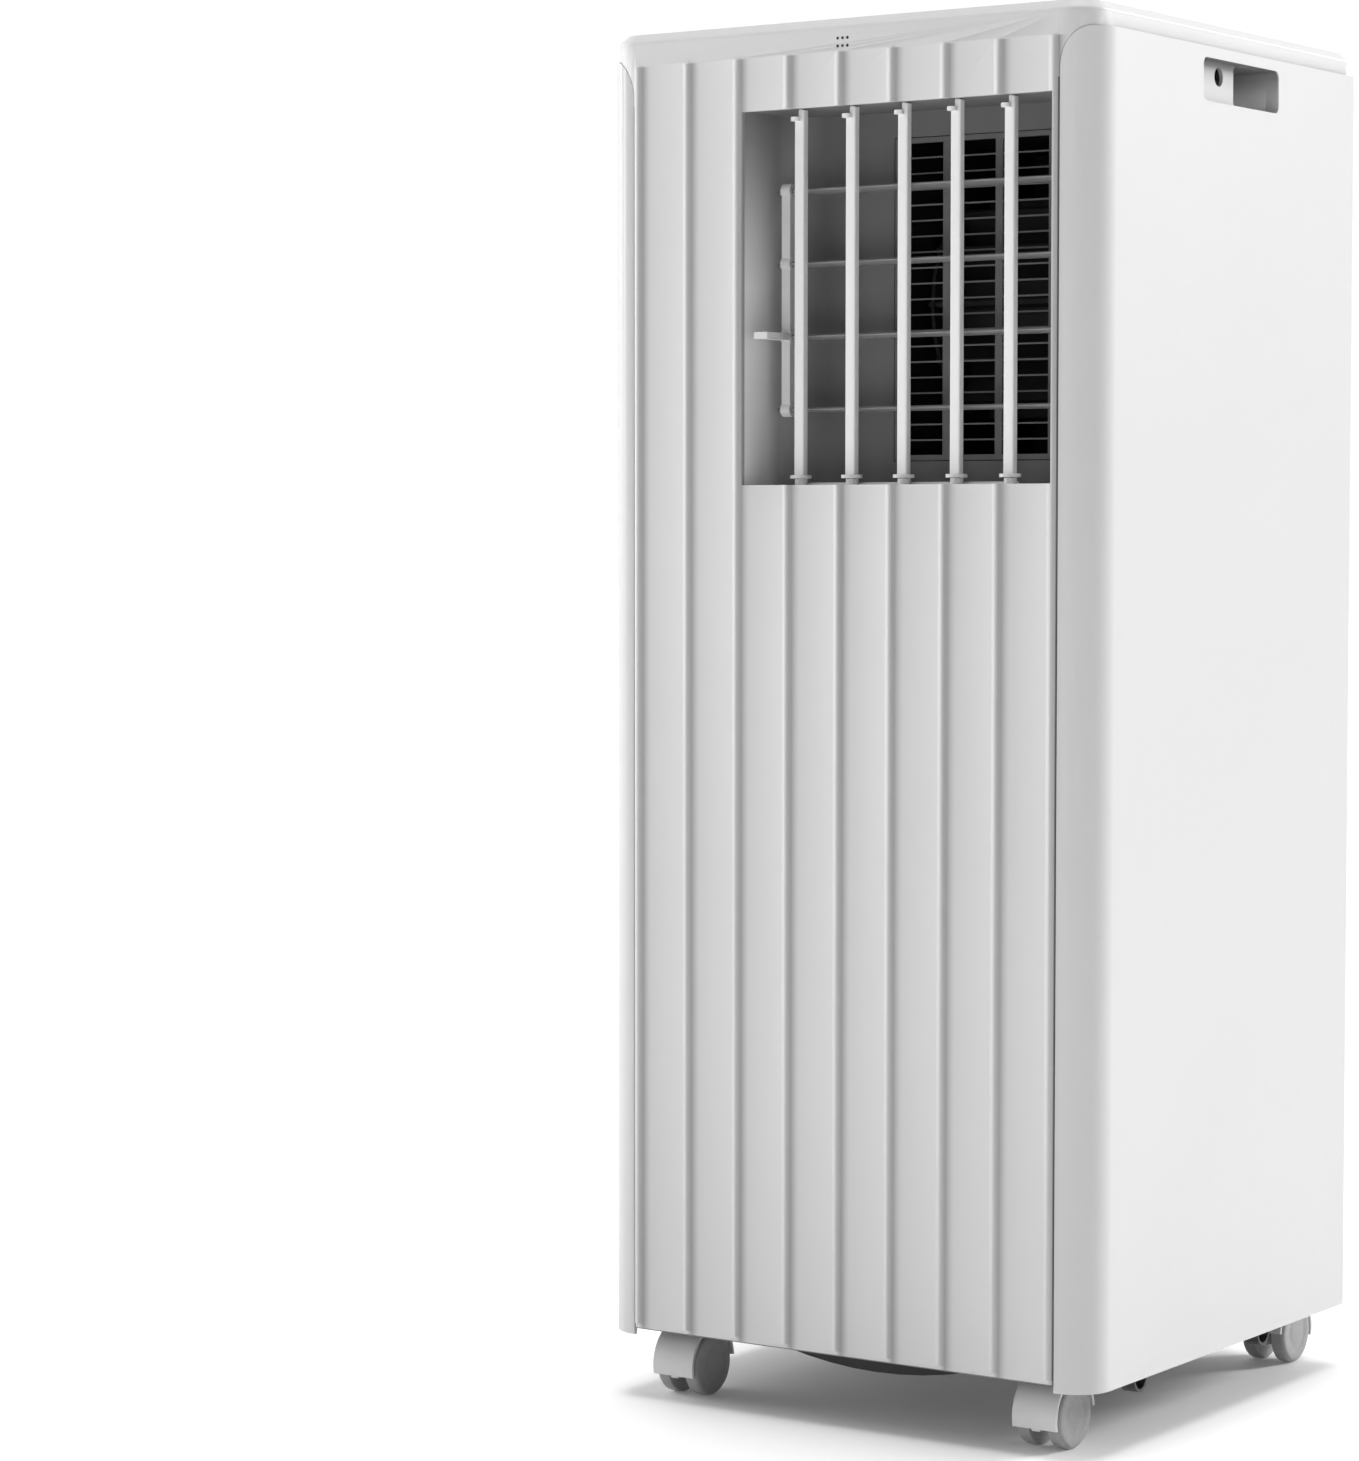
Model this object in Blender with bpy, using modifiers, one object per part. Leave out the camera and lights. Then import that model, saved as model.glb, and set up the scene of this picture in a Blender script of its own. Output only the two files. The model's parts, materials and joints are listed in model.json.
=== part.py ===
"""A tall portable air conditioner: a ribbed front with a louvred outlet, wrapped side shells with
handle recesses, a control panel on top, and four twin-wheel casters under a dished base pan.

Metres, +Z up. The origin is on the floor under the middle of the footprint. The front faces -Y and
+X is the right side seen from the front. Depths are measured back from the front panel's face.
"""

import math

import bmesh
import bpy
from mathutils import Matrix, Vector

MM = 0.001
GAP = 0.3 * MM
WALL = 2.4 * MM

# Cabinet
HALF_WIDTH = 143.1 * MM
SEAM_X = 123.1 * MM
DEPTH = 285.0 * MM
FRONT_Y = -150.0 * MM
BACK_Y = FRONT_Y + DEPTH
CORNER_RADIUS = HALF_WIDTH - SEAM_X
REAR_RADIUS = 5.0 * MM
REAR_LIP_X = 128.0 * MM
SHELL_BOTTOM = 33.4 * MM
SHELL_TOP = 685.8 * MM
SHELL_EAR = (16.0 * MM, 20.0 * MM)
BAND_INSET = 3.0 * MM
BAND_TOP = 693.1 * MM
TOP_Z = 698.4 * MM
TOP_CHAMFER = 4.2 * MM

# Front panel
PANEL_BOTTOM = 36.8 * MM
PANEL_HALF = SEAM_X - GAP
RIB_PITCH = 30.0 * MM
RIB_HEIGHT = 1.8 * MM
RIB_SPREAD = 2.9 * MM
RIB_BOTTOM = 38.7 * MM
RIB_TOP = 682.2 * MM

# Air outlet
OUTLET_LEFT = -57.2 * MM
OUTLET_RIGHT = 120.0 * MM
OUTLET_BOTTOM = 470.0 * MM
OUTLET_TOP = 655.5 * MM
OUTLET_MIDDLE = 0.5 * (OUTLET_BOTTOM + OUTLET_TOP)
DUCT_DEPTH = 52.0 * MM
DUCT_FLOOR = 467.8 * MM
DUCT_CEILING = 656.5 * MM
GRILLE_LEFT = 0.0
GRILLE_BOTTOM = 482.0 * MM
GRILLE_TOP = 643.4 * MM
SLOT_PITCH = 7.8 * MM
SLOT_HEIGHT = 6.2 * MM
SLOT_WIDTH = 25.8 * MM
SLOT_ROWS = 20

# Vertical blades stand on bosses, horizontal blades lie behind them
VERTICAL_X = [-31.0 * MM + RIB_PITCH * i for i in range(5)]
VERTICAL_DEPTH = 14.0 * MM
VERTICAL_CRANK = 5.2 * MM
VERTICAL_SECTION = (2.75 * MM, 4.3 * MM)
BOSS_TOP = 473.0 * MM
BLADE_TOP = 655.8 * MM
HORIZONTAL_Z = [OUTLET_MIDDLE + 36.5 * MM * (1.5 - i) for i in range(4)]
HORIZONTAL_DEPTH = 35.0 * MM
HORIZONTAL_CRANK = 10.5 * MM
HORIZONTAL_CHORD = 26.0 * MM
HORIZONTAL_LEFT = -41.5 * MM
HORIZONTAL_RIGHT = 118.5 * MM

# Handle recesses in the side shells: a shallow ledge in front, a deep pocket behind it
HANDLE_FRONT = 108.8 * MM
HANDLE_SPLIT = 152.7 * MM
HANDLE_REAR = 192.0 * MM
HANDLE_BOTTOM = 659.0 * MM
HANDLE_TOP = 680.4 * MM
HANDLE_LEDGE = 6.0 * MM
HANDLE_POCKET = 26.0 * MM

# Machinery
PARTITION_Z = 440.0 * MM
EXHAUST_X = 38.0 * MM
EXHAUST_Z = 345.0 * MM
EXHAUST_RADIUS = 62.0 * MM
EXHAUST_END = 301.8 * MM
FAN_Z = 160.0 * MM
BLOWER_DEPTH = 128.0 * MM
BLOWER_Z = 561.0 * MM
DRAIN_X = -60.0 * MM
DRAIN_Z = 51.0 * MM
CORD_X = -100.0 * MM
CORD_Z = 290.0 * MM

# Base and casters
PAN_FLOOR = 39.0 * MM
SUMP_HALF = 68.0 * MM
SUMP_DIP = 22.0 * MM
LUG_DEPTHS = (61.0 * MM, 196.0 * MM)
LUG_Z = 31.6 * MM
LUG_RADIUS = 6.8 * MM
CASTER_X = 106.5 * MM
AXLE_DEPTHS = {"front": 30.0 * MM, "rear": 275.0 * MM}
AXLE_TRAIL = 6.0 * MM
WHEEL_RADIUS = 16.5 * MM
WHEEL_OUTER = 12.6 * MM
WHEEL_WIDTH = 7.6 * MM
HOOD_RADIUS = 19.5 * MM
HOOD_HALF = 12.2 * MM

# Control panel
PANEL_DEPTHS = (28.0 * MM, 92.0 * MM)
CONTROL_HALF = 78.0 * MM
BUTTON_RADIUS = 5.4 * MM
BUTTON_X = [-62.0 * MM, -42.0 * MM, -22.0 * MM, 28.0 * MM, 48.0 * MM, 68.0 * MM]
BUTTON_DEPTH = 60.0 * MM
BUTTON_NAMES = ["power", "mode", "timer", "fan", "cooler", "warmer"]

PARTS = None
CUTTERS = None


# ---------------------------------------------------------------- building blocks


def start_scene():
    """An empty scene with one collection for the pieces and one for the cutters."""
    global PARTS, CUTTERS
    for obj in list(bpy.data.objects):
        bpy.data.objects.remove(obj)
    PARTS = bpy.data.collections.new("portable_air_conditioner")
    CUTTERS = bpy.data.collections.new("cutters")
    for collection in (PARTS, CUTTERS):
        bpy.context.scene.collection.children.link(collection)


def from_bmesh(name, shape):
    bmesh.ops.recalc_face_normals(shape, faces=shape.faces)
    mesh = bpy.data.meshes.new(name)
    shape.to_mesh(mesh)
    shape.free()
    obj = bpy.data.objects.new(name, mesh)
    PARTS.objects.link(obj)
    return obj


def deep(depth):
    """The world Y at this depth behind the front panel's face."""
    return FRONT_Y + depth


def box(name, low, high):
    """A box between two opposite corners."""
    shape = bmesh.new()
    bmesh.ops.create_cube(shape, size=1.0)
    size = [b - a for a, b in zip(low, high)]
    middle = [0.5 * (a + b) for a, b in zip(low, high)]
    bmesh.ops.scale(shape, vec=size, verts=shape.verts)
    bmesh.ops.translate(shape, vec=middle, verts=shape.verts)
    return from_bmesh(name, shape)


def cylinder(name, radius, start, end, sides=24):
    """A cylinder between two points, with a corner of its polygon straight down or to +X."""
    start, end = Vector(start), Vector(end)
    along = end - start
    shape = bmesh.new()
    bmesh.ops.create_cone(
        shape, cap_ends=True, segments=sides, radius1=radius, radius2=radius, depth=along.length
    )
    turn = along.to_track_quat("Z", "Y").to_matrix().to_4x4()
    bmesh.ops.transform(shape, matrix=Matrix.Translation(0.5 * (start + end)) @ turn, verts=shape.verts)
    return from_bmesh(name, shape)


def mesh_of(obj):
    """The object's evaluated shape as a plain mesh object with its seams welded."""
    graph = bpy.context.evaluated_depsgraph_get()
    mesh = bpy.data.meshes.new_from_object(obj.evaluated_get(graph))
    shape = bmesh.new()
    shape.from_mesh(mesh)
    bmesh.ops.remove_doubles(shape, verts=shape.verts, dist=1e-6)
    bmesh.ops.transform(shape, matrix=obj.matrix_world, verts=shape.verts)
    name = obj.name
    bpy.data.objects.remove(obj)
    bpy.data.meshes.remove(mesh)
    return from_bmesh(name, shape)


AXIS_TURNS = {
    "X": Matrix(((0, 0, 1, 0), (1, 0, 0, 0), (0, 1, 0, 0), (0, 0, 0, 1))),
    "Y": Matrix(((1, 0, 0, 0), (0, 0, -1, 0), (0, 1, 0, 0), (0, 0, 0, 1))),
    "Z": Matrix.Identity(4),
}


def plate(name, outline, axis, low, high, holes=()):
    """A flat outline extruded from low to high along an axis. The outline is (y, z) for X, (x, z)
    for Y and (x, y) for Z, and each hole is an outline inside it."""
    curve = bpy.data.curves.new(name, "CURVE")
    curve.dimensions = "2D"
    curve.fill_mode = "BOTH"
    curve.extrude = 0.5 * (high - low)
    for points in (outline, *holes):
        spline = curve.splines.new("POLY")
        spline.points.add(len(points) - 1)
        for point, (u, v) in zip(spline.points, points):
            point.co = (u, v, 0, 1)
        spline.use_cyclic_u = True
    obj = bpy.data.objects.new(name, curve)
    PARTS.objects.link(obj)
    shift = {"X": (1, 0, 0), "Y": (0, 1, 0), "Z": (0, 0, 1)}[axis]
    obj.matrix_world = Matrix.Translation(Vector(shift) * 0.5 * (low + high)) @ AXIS_TURNS[axis]
    bpy.context.view_layer.update()
    return mesh_of(obj)


def turned(name, profile, centre, axis="Z", steps=24):
    """A profile of (radius, height) points, outer side from top to bottom, turned about an axis."""
    mesh = bpy.data.meshes.new(name)
    mesh.from_pydata([(r, 0, z) for r, z in profile], [(i, i + 1) for i in range(len(profile) - 1)], [])
    obj = bpy.data.objects.new(name, mesh)
    PARTS.objects.link(obj)
    screw = obj.modifiers.new("Screw", "SCREW")
    screw.steps = steps
    screw.render_steps = steps
    screw.use_merge_vertices = True
    screw.merge_threshold = 1e-6
    obj.matrix_world = Matrix.Translation(centre) @ AXIS_TURNS[axis]
    bpy.context.view_layer.update()
    return mesh_of(obj)


def boolean(obj, others, operation):
    for other in others:
        step = obj.modifiers.new(operation.title(), "BOOLEAN")
        step.operation = operation
        step.solver = "EXACT"
        step.object = other
        PARTS.objects.unlink(other)
        CUTTERS.objects.link(other)
        other.hide_render = True
        other.display_type = "WIRE"
    return obj


def join(obj, *others):
    return boolean(obj, others, "UNION")


def cut(obj, *others):
    return boolean(obj, others, "DIFFERENCE")


def together(name, pieces):
    """Separate closed shapes in one mesh, to cut or join in one step."""
    shape = bmesh.new()
    for piece in pieces:
        shape.from_mesh(piece.data)
        bpy.data.objects.remove(piece)
    return from_bmesh(name, shape)


def finish(obj, name, material, origin=(0, 0, 0)):
    """Names the piece, gives it its material and puts its origin at a point, on a joint's axis."""
    bpy.context.view_layer.update()
    piece = mesh_of(obj)
    piece.name = name
    piece.data.name = name
    piece.data.transform(Matrix.Translation(-Vector(origin)))
    piece.location = origin
    piece.data.materials.append(material)
    piece.data.shade_smooth()
    piece.data.set_sharp_from_angle(angle=math.radians(35))
    return piece


def copy_to(piece, name, location, turn=0.0):
    """Another object that shares the piece's mesh."""
    copy = bpy.data.objects.new(name, piece.data)
    copy.location = location
    copy.rotation_euler = (0, 0, turn)
    PARTS.objects.link(copy)
    return copy


def material(name, colour, roughness, metallic=0.0, alpha=1.0):
    made = bpy.data.materials.new(name)
    made.use_nodes = True
    shader = made.node_tree.nodes["Principled BSDF"]
    shader.inputs["Base Color"].default_value = (*colour, 1.0)
    shader.inputs["Roughness"].default_value = roughness
    shader.inputs["Metallic"].default_value = metallic
    shader.inputs["Alpha"].default_value = alpha
    return made


def arc(centre, radii, start, end, steps):
    """Points along a circular or elliptical arc, angles in degrees, both ends included."""
    points = []
    for i in range(steps + 1):
        angle = math.radians(start + (end - start) * i / steps)
        points.append((centre[0] + radii[0] * math.cos(angle), centre[1] + radii[1] * math.sin(angle)))
    return points


def circle(centre, radius, sides):
    return arc(centre, (radius, radius), 0, 360 - 360 / sides, sides - 1)


def rounded(u0, u1, v0, v1, radius, steps=3, far_radius=None):
    """A rectangle with round corners. far_radius is that of the two corners at v1."""
    far = radius if far_radius is None else far_radius
    points = arc((u1 - radius, v0 + radius), (radius, radius), -90, 0, steps)
    points += arc((u1 - far, v1 - far), (far, far), 0, 90, steps)
    points += arc((u0 + far, v1 - far), (far, far), 90, 180, steps)
    points += arc((u0 + radius, v0 + radius), (radius, radius), 180, 270, steps)
    return points


def rectangle(u0, u1, v0, v1):
    return [(u0, v0), (u1, v0), (u1, v1), (u0, v1)]


# ---------------------------------------------------------------- cabinet


def shell_wall(name, side, grow, top):
    """The wall that wraps from the front seam round the corner to the rear lip, with the round ear
    at its top front. grow thickens it inwards, for the clearance that its neighbours leave."""
    centre = (SEAM_X, deep(CORNER_RADIUS))
    rear = (HALF_WIDTH - REAR_RADIUS, BACK_Y - REAR_RADIUS)
    outer = CORNER_RADIUS + grow
    inner = CORNER_RADIUS - WALL - grow
    rear_outer = REAR_RADIUS + grow
    rear_inner = REAR_RADIUS - WALL - grow
    outline = [(SEAM_X - grow, centre[1] - outer)] + arc(centre, (outer, outer), -90, 0, 8)
    outline += arc(rear, (rear_outer, rear_outer), 0, 90, 3) + [(REAR_LIP_X, rear[1] + rear_outer)]
    outline += [(REAR_LIP_X, rear[1] + rear_inner)] + arc(rear, (rear_inner, rear_inner), 90, 0, 3)
    outline += arc(centre, (inner, inner), 0, -90, 8) + [(SEAM_X - grow, centre[1] - inner)]
    wall = plate(name, [(side * x, y) for x, y in outline], "Z", SHELL_BOTTOM - grow, top)
    ear = (SHELL_EAR[0] + grow, SHELL_EAR[1] + grow)
    centre = (SEAM_X + SHELL_EAR[0], SHELL_TOP - SHELL_EAR[1])
    outline = arc(centre, ear, 180, 90, 6)
    outline += [(centre[0], top + WALL), (SEAM_X - WALL, top + WALL), (SEAM_X - WALL, centre[1])]
    trim = plate("ear_trim", [(side * x, z) for x, z in outline], "Y", deep(-WALL), deep(30 * MM))
    return cut(wall, trim)


def side_shell(name, side, paint):
    """One side shell with its moulded handle recess and the screw hole in the ledge."""
    shell = shell_wall(name, side, 0.0, SHELL_TOP)
    face = HALF_WIDTH
    floor = 2 * MM

    def slab(label, depths, heights, reach, out, radius):
        near, far = sorted((side * (face - reach), side * (face + out)))
        outline = rounded(deep(depths[0]), deep(depths[1]), *heights, radius)
        return plate(label, outline, "X", near, far)

    def heights(spread):
        return (HANDLE_BOTTOM - spread, HANDLE_TOP + spread)

    draft = 0.2 * MM
    whole = (HANDLE_FRONT - floor, HANDLE_REAR + floor)
    rear = (HANDLE_SPLIT - floor, HANDLE_REAR + floor - draft)
    ledge = slab("ledge_block", whole, heights(floor), HANDLE_LEDGE + floor, -1.2 * MM, 4 * MM)
    pocket = slab("pocket_block", rear, heights(floor - draft), HANDLE_POCKET + floor, -1.3 * MM, 4 * MM)
    shell = join(shell, ledge, pocket)
    recess = slab("recess", (HANDLE_FRONT, HANDLE_REAR), heights(0.0), HANDLE_LEDGE, floor, 3.5 * MM)
    rear = (HANDLE_SPLIT, HANDLE_REAR - draft)
    deep_cut = slab("pocket", rear, heights(-draft), HANDLE_POCKET, 0.5 * floor, 3.5 * MM)
    hole_at = (deep(136.7 * MM), 673.0 * MM)
    screw = cylinder(
        "screw_hole", 4.7 * MM,
        (side * (face - 12 * MM), *hole_at), (side * (face - 4 * MM), *hole_at), 12,
    )
    return finish(cut(shell, recess, deep_cut, screw), name, paint)


def side_shells():
    paint = material("shell_plastic", (0.86, 0.86, 0.85), 0.42)
    side_shell("side_shell_right", 1, paint)
    side_shell("side_shell_left", -1, paint)


def rib_outline():
    """The panel's cross-section in front: nine bell-shaped ribs, their valleys sunk in the plate."""
    sink = 0.1 * MM
    half = PANEL_HALF - 0.2 * MM

    def surface(x, middle):
        height = (RIB_HEIGHT + sink) * math.exp(-(((x - middle) / RIB_SPREAD) ** 2)) - sink
        return (x, FRONT_Y - height)

    offsets = [o * MM for o in (-6.4, -4.6, -3.2, -2.0, -1.0, 0.0, 1.0, 2.0, 3.2, 4.6, 6.4)]
    crests = [rib * RIB_PITCH for rib in range(-4, 5)]
    points = [surface(crest + o, crest) for crest in crests for o in offsets if abs(crest + o) < half]
    ends = [surface(-half, crests[0]), surface(half, crests[-1])]
    back = FRONT_Y + WALL / 2
    return [(-half, back), ends[0], *points, ends[1], (half, back)]


def front_panel():
    """The front face with its ribs and outlet opening, in one moulding with the band under the top
    cover, whose ends show in the rounded corners above the side shells."""
    half = HALF_WIDTH - BAND_INSET
    radius = CORNER_RADIUS - BAND_INSET
    back = BACK_Y - BAND_INSET
    band_bottom = SHELL_TOP - SHELL_EAR[1] - 4 * MM
    outer = rounded(-half, half, FRONT_Y, back, radius, 6, REAR_RADIUS)
    inner = rounded(-half + WALL, half - WALL, FRONT_Y + WALL, back - WALL, radius - WALL, 6, REAR_RADIUS - WALL)
    panel = plate("ring", outer, "Z", PANEL_BOTTOM, BAND_TOP, [inner])
    low, high = PANEL_BOTTOM - MM, band_bottom
    away = [
        box("behind_face", (-half - MM, FRONT_Y + WALL, low), (half + MM, back + MM, high)),
        box("left_of_face", (-half - MM, FRONT_Y - MM, low), (-PANEL_HALF, FRONT_Y + 2 * WALL, high)),
        box("right_of_face", (PANEL_HALF, FRONT_Y - MM, low), (half + MM, FRONT_Y + 2 * WALL, high)),
        box("behind_ears", (-half - MM, deep(28 * MM), high - MM), (half + MM, back + MM, SHELL_TOP + GAP)),
        box("outlet_opening", (OUTLET_LEFT, deep(-5 * MM), OUTLET_BOTTOM),
            (OUTLET_RIGHT, deep(6 * MM), OUTLET_TOP)),
    ]
    panel = join(panel, plate("ribs", rib_outline(), "Z", RIB_BOTTOM, RIB_TOP))
    panel = cut(panel, *away)
    for side in (1, -1):
        panel = cut(panel, mesh_of(shell_wall("shell_clearance", side, GAP, SHELL_TOP + GAP)))
    finish(panel, "front_panel", material("front_plastic", (0.74, 0.74, 0.73), 0.5))


def top_cover():
    """A shallow lid with a chamfered rim and a window for the control panel."""
    half = HALF_WIDTH - BAND_INSET
    bottom = BAND_TOP + GAP
    outline = rounded(-half, half, FRONT_Y, BACK_Y - BAND_INSET, CORNER_RADIUS - BAND_INSET, 6, REAR_RADIUS)
    lid = plate("lid", outline, "Z", bottom, TOP_Z)
    shape = bmesh.new()
    shape.from_mesh(lid.data)
    rim = [e for e in shape.edges if e.is_manifold and e.calc_face_angle(0) > 1.2 and min(v.co.z for v in e.verts) > TOP_Z - MM]
    bmesh.ops.bevel(shape, geom=rim, offset=TOP_CHAMFER, segments=1, affect="EDGES")
    shape.to_mesh(lid.data)
    shape.free()
    inset = half - 3 * MM
    hollow = rounded(-inset, inset, FRONT_Y + 3 * MM, BACK_Y - 6 * MM, 14 * MM, 4, 3 * MM)
    under = plate("lid_hollow", hollow, "Z", bottom - MM, bottom + 1.9 * MM)
    window = rounded(
        -CONTROL_HALF - GAP, CONTROL_HALF + GAP,
        deep(PANEL_DEPTHS[0]) - GAP, deep(PANEL_DEPTHS[1]) + GAP, 8 * MM,
    )
    hole = plate("control_window", window, "Z", bottom - MM, TOP_Z + MM)
    finish(cut(lid, under, hole), "top_cover", material("cover_plastic", (0.85, 0.85, 0.84), 0.45))


def rear_panel():
    """The rear plate with two filter windows and holes for the exhaust, the drain and the cord."""
    half = REAR_LIP_X - GAP
    outline = rectangle(-half, half, PANEL_BOTTOM, SHELL_TOP - MM)
    holes = [
        rectangle(-108 * MM, 108 * MM, 462 * MM, 646 * MM),
        rectangle(-108 * MM, 108 * MM, 68 * MM, 252 * MM),
        circle((EXHAUST_X, EXHAUST_Z), EXHAUST_RADIUS + 0.5 * MM, 32),
        circle((DRAIN_X, DRAIN_Z), 7.2 * MM, 12),
        circle((CORD_X, CORD_Z), 6.4 * MM, 12),
    ]
    panel = plate("rear", outline, "Y", BACK_Y - WALL, BACK_Y, holes)
    finish(panel, "rear_panel", material("rear_plastic", (0.72, 0.72, 0.71), 0.5))


def filter_cassette(name, bottom, top, paint):
    """A slatted cassette that fills a rear window."""
    half = 107.7 * MM
    rows = 10
    columns = 3
    rim = 8 * MM
    pitch = (top - bottom - 2 * rim) / rows
    span = (2 * half - 2 * rim + 4 * MM) / columns
    holes = []
    for row in range(rows):
        low = bottom + rim + row * pitch
        for column in range(columns):
            left = -half + rim + column * span
            holes.append(rectangle(left, left + span - 4 * MM, low + 1.4 * MM, low + pitch - 1.4 * MM))
    outline = rectangle(-half, half, bottom, top)
    cassette = plate(name, outline, "Y", deep(281.0 * MM), deep(286.0 * MM), holes)
    tab = box("tab", (-14 * MM, deep(284 * MM), top - 6 * MM), (14 * MM, deep(289.5 * MM), top - 3 * MM))
    finish(join(cassette, tab), name, paint)


def filters():
    paint = material("filter_plastic", (0.62, 0.62, 0.61), 0.6)
    filter_cassette("upper_filter", 462.3 * MM, 645.7 * MM, paint)
    filter_cassette("lower_filter", 68.3 * MM, 251.7 * MM, paint)


def base_pan():
    """The tray that carries everything, with a dished sump, four caster sockets and four tube lugs."""
    pan = plate("pan", rounded(-134 * MM, 134 * MM, deep(5 * MM), deep(280 * MM), 14 * MM, 4), "Z",
                PAN_FLOOR, 60 * MM)
    inside = rounded(-131.5 * MM, 131.5 * MM, deep(7.5 * MM), deep(277.5 * MM), 11.5 * MM, 4)
    inside = plate("pan_inside", inside, "Z", PAN_FLOOR + 2.5 * MM, 62 * MM)

    def belly(label, half, dip, lid, depths):
        rise = PAN_FLOOR - 7 * MM - dip
        outline = [(half * (i / 5 - 1), dip + rise * (i / 5 - 1) ** 2) for i in range(11)]
        return plate(label, outline + [(half, lid), (-half, lid)], "Y", deep(depths[0]), deep(depths[1]))

    sump = belly("sump", SUMP_HALF, SUMP_DIP, PAN_FLOOR + MM, (38 * MM, 232 * MM))
    bowl = belly("bowl", SUMP_HALF - 2.5 * MM, SUMP_DIP + 2.5 * MM, PAN_FLOOR + 4 * MM, (40.5 * MM, 229.5 * MM))
    sockets, bores, lugs, lug_bores = [], [], [], []
    for side in (-1, 1):
        for depth in stem_depths().values():
            at = (side * CASTER_X, deep(depth))
            sockets.append(cylinder("socket", 6 * MM, (*at, PAN_FLOOR + MM), (*at, 58 * MM), 12))
            bores.append(cylinder("bore", 3.4 * MM, (*at, PAN_FLOOR - MM), (*at, 54 * MM), 12))
        for depth in LUG_DEPTHS:
            reach = sorted((side * 130 * MM, side * 138 * MM))
            post = sorted((side * 130.3 * MM, side * 133.7 * MM))
            start, end = ((x, deep(depth), LUG_Z) for x in reach)
            lugs.append(cylinder("lug", LUG_RADIUS, start, end, 14))
            lugs.append(box("lug_post", (post[0], deep(depth - 2 * MM), LUG_Z + LUG_RADIUS - MM),
                            (post[1], deep(depth + 2 * MM), PAN_FLOOR + MM)))
            start, end = ((x, deep(depth), LUG_Z) for x in (reach[0] - MM, reach[1] + MM))
            lug_bores.append(cylinder("lug_bore", LUG_RADIUS - 1.5 * MM, start, end, 14))
    spout_at = ((DRAIN_X, deep(278 * MM), DRAIN_Z), (DRAIN_X, deep(284.6 * MM), DRAIN_Z))
    spout = cylinder("spout", 6.8 * MM, *spout_at, 12)
    drain_at = ((DRAIN_X, deep(270 * MM), DRAIN_Z), (DRAIN_X, deep(290 * MM), DRAIN_Z))
    drain = cylinder("drain_bore", 4.9 * MM, *drain_at, 12)
    pan = join(cut(pan, inside), sump)
    pan = join(cut(pan, bowl), together("sockets", sockets))
    for lug in lugs:
        pan = join(pan, lug)
    pan = cut(join(pan, spout), together("bores", bores + lug_bores), drain)
    finish(pan, "base_pan", material("pan_plastic", (0.10, 0.10, 0.10), 0.6))


# ---------------------------------------------------------------- air outlet


def outlet_duct():
    """The recess behind the opening, with a rounded left wall, a window for the grille, pivot holes
    for the horizontal blades and bosses for the vertical ones."""
    left, right = OUTLET_LEFT - 0.2 * MM, OUTLET_RIGHT + 0.4 * MM

    def room(label, spread, back, floor, ceiling, radius):
        y0, y1 = deep(WALL + GAP) - (MM if spread == 0 else 0), deep(back)
        corner = arc((left - spread + radius, y1 - radius), (radius, radius), 90, 180, 6)
        outline = [(left - spread, y0), (right + spread, y0), (right + spread, y1)] + corner
        return plate(label, outline, "Z", floor, ceiling)

    wall = 2 * MM
    duct = room("duct", wall, DUCT_DEPTH + wall, DUCT_FLOOR - wall, DUCT_CEILING + wall, 20 * MM)
    hollow = room("duct_hollow", 0, DUCT_DEPTH, DUCT_FLOOR, DUCT_CEILING, 18 * MM)
    bosses, bores = [], []
    for x in VERTICAL_X:
        at = (x, deep(VERTICAL_DEPTH))
        bosses.append(cylinder("boss", 3.0 * MM, (*at, DUCT_FLOOR - MM), (*at, BOSS_TOP), 12))
        bores.append(cylinder("bore", 1.4 * MM, (*at, DUCT_FLOOR - 3 * MM), (*at, BOSS_TOP + MM), 8))
        bores.append(cylinder("bore", 1.4 * MM, (*at, DUCT_CEILING - MM), (*at, DUCT_CEILING + 3 * MM), 8))
    for z in HORIZONTAL_Z:
        at = (deep(HORIZONTAL_DEPTH), z)
        bores.append(cylinder("bore", 1.6 * MM, (left - 3 * MM, *at), (left + MM, *at), 8))
        bores.append(cylinder("bore", 1.6 * MM, (right - MM, *at), (right + 3 * MM, *at), 8))
    window = box(
        "grille_window", (GRILLE_LEFT, deep(DUCT_DEPTH - MM), GRILLE_BOTTOM),
        (right - 0.6 * MM, deep(DUCT_DEPTH + 3 * MM), GRILLE_TOP),
    )
    duct = join(cut(duct, hollow), together("bosses", bosses))
    duct = cut(duct, together("bores", bores), window)
    finish(duct, "outlet_duct", material("duct_plastic", (0.42, 0.42, 0.42), 0.6))


def outlet_grille():
    """The slotted plate in the duct's rear window."""
    right = OUTLET_RIGHT - 0.6 * MM
    start = OUTLET_MIDDLE - 0.5 * (SLOT_ROWS * SLOT_PITCH - (SLOT_PITCH - SLOT_HEIGHT))
    holes = []
    for row in range(SLOT_ROWS):
        low = start + row * SLOT_PITCH
        for column in range(4):
            x = 2.4 * MM + column * RIB_PITCH
            holes.append(rectangle(x, min(x + SLOT_WIDTH, right - 2 * MM), low, low + SLOT_HEIGHT))
    outline = rectangle(GRILLE_LEFT + GAP, right, GRILLE_BOTTOM + GAP, GRILLE_TOP - GAP)
    grille = plate("grille", outline, "Y", deep(DUCT_DEPTH), deep(DUCT_DEPTH + 2 * MM), holes)
    finish(grille, "outlet_grille", material("grille_plastic", (0.30, 0.30, 0.30), 0.6))


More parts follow.
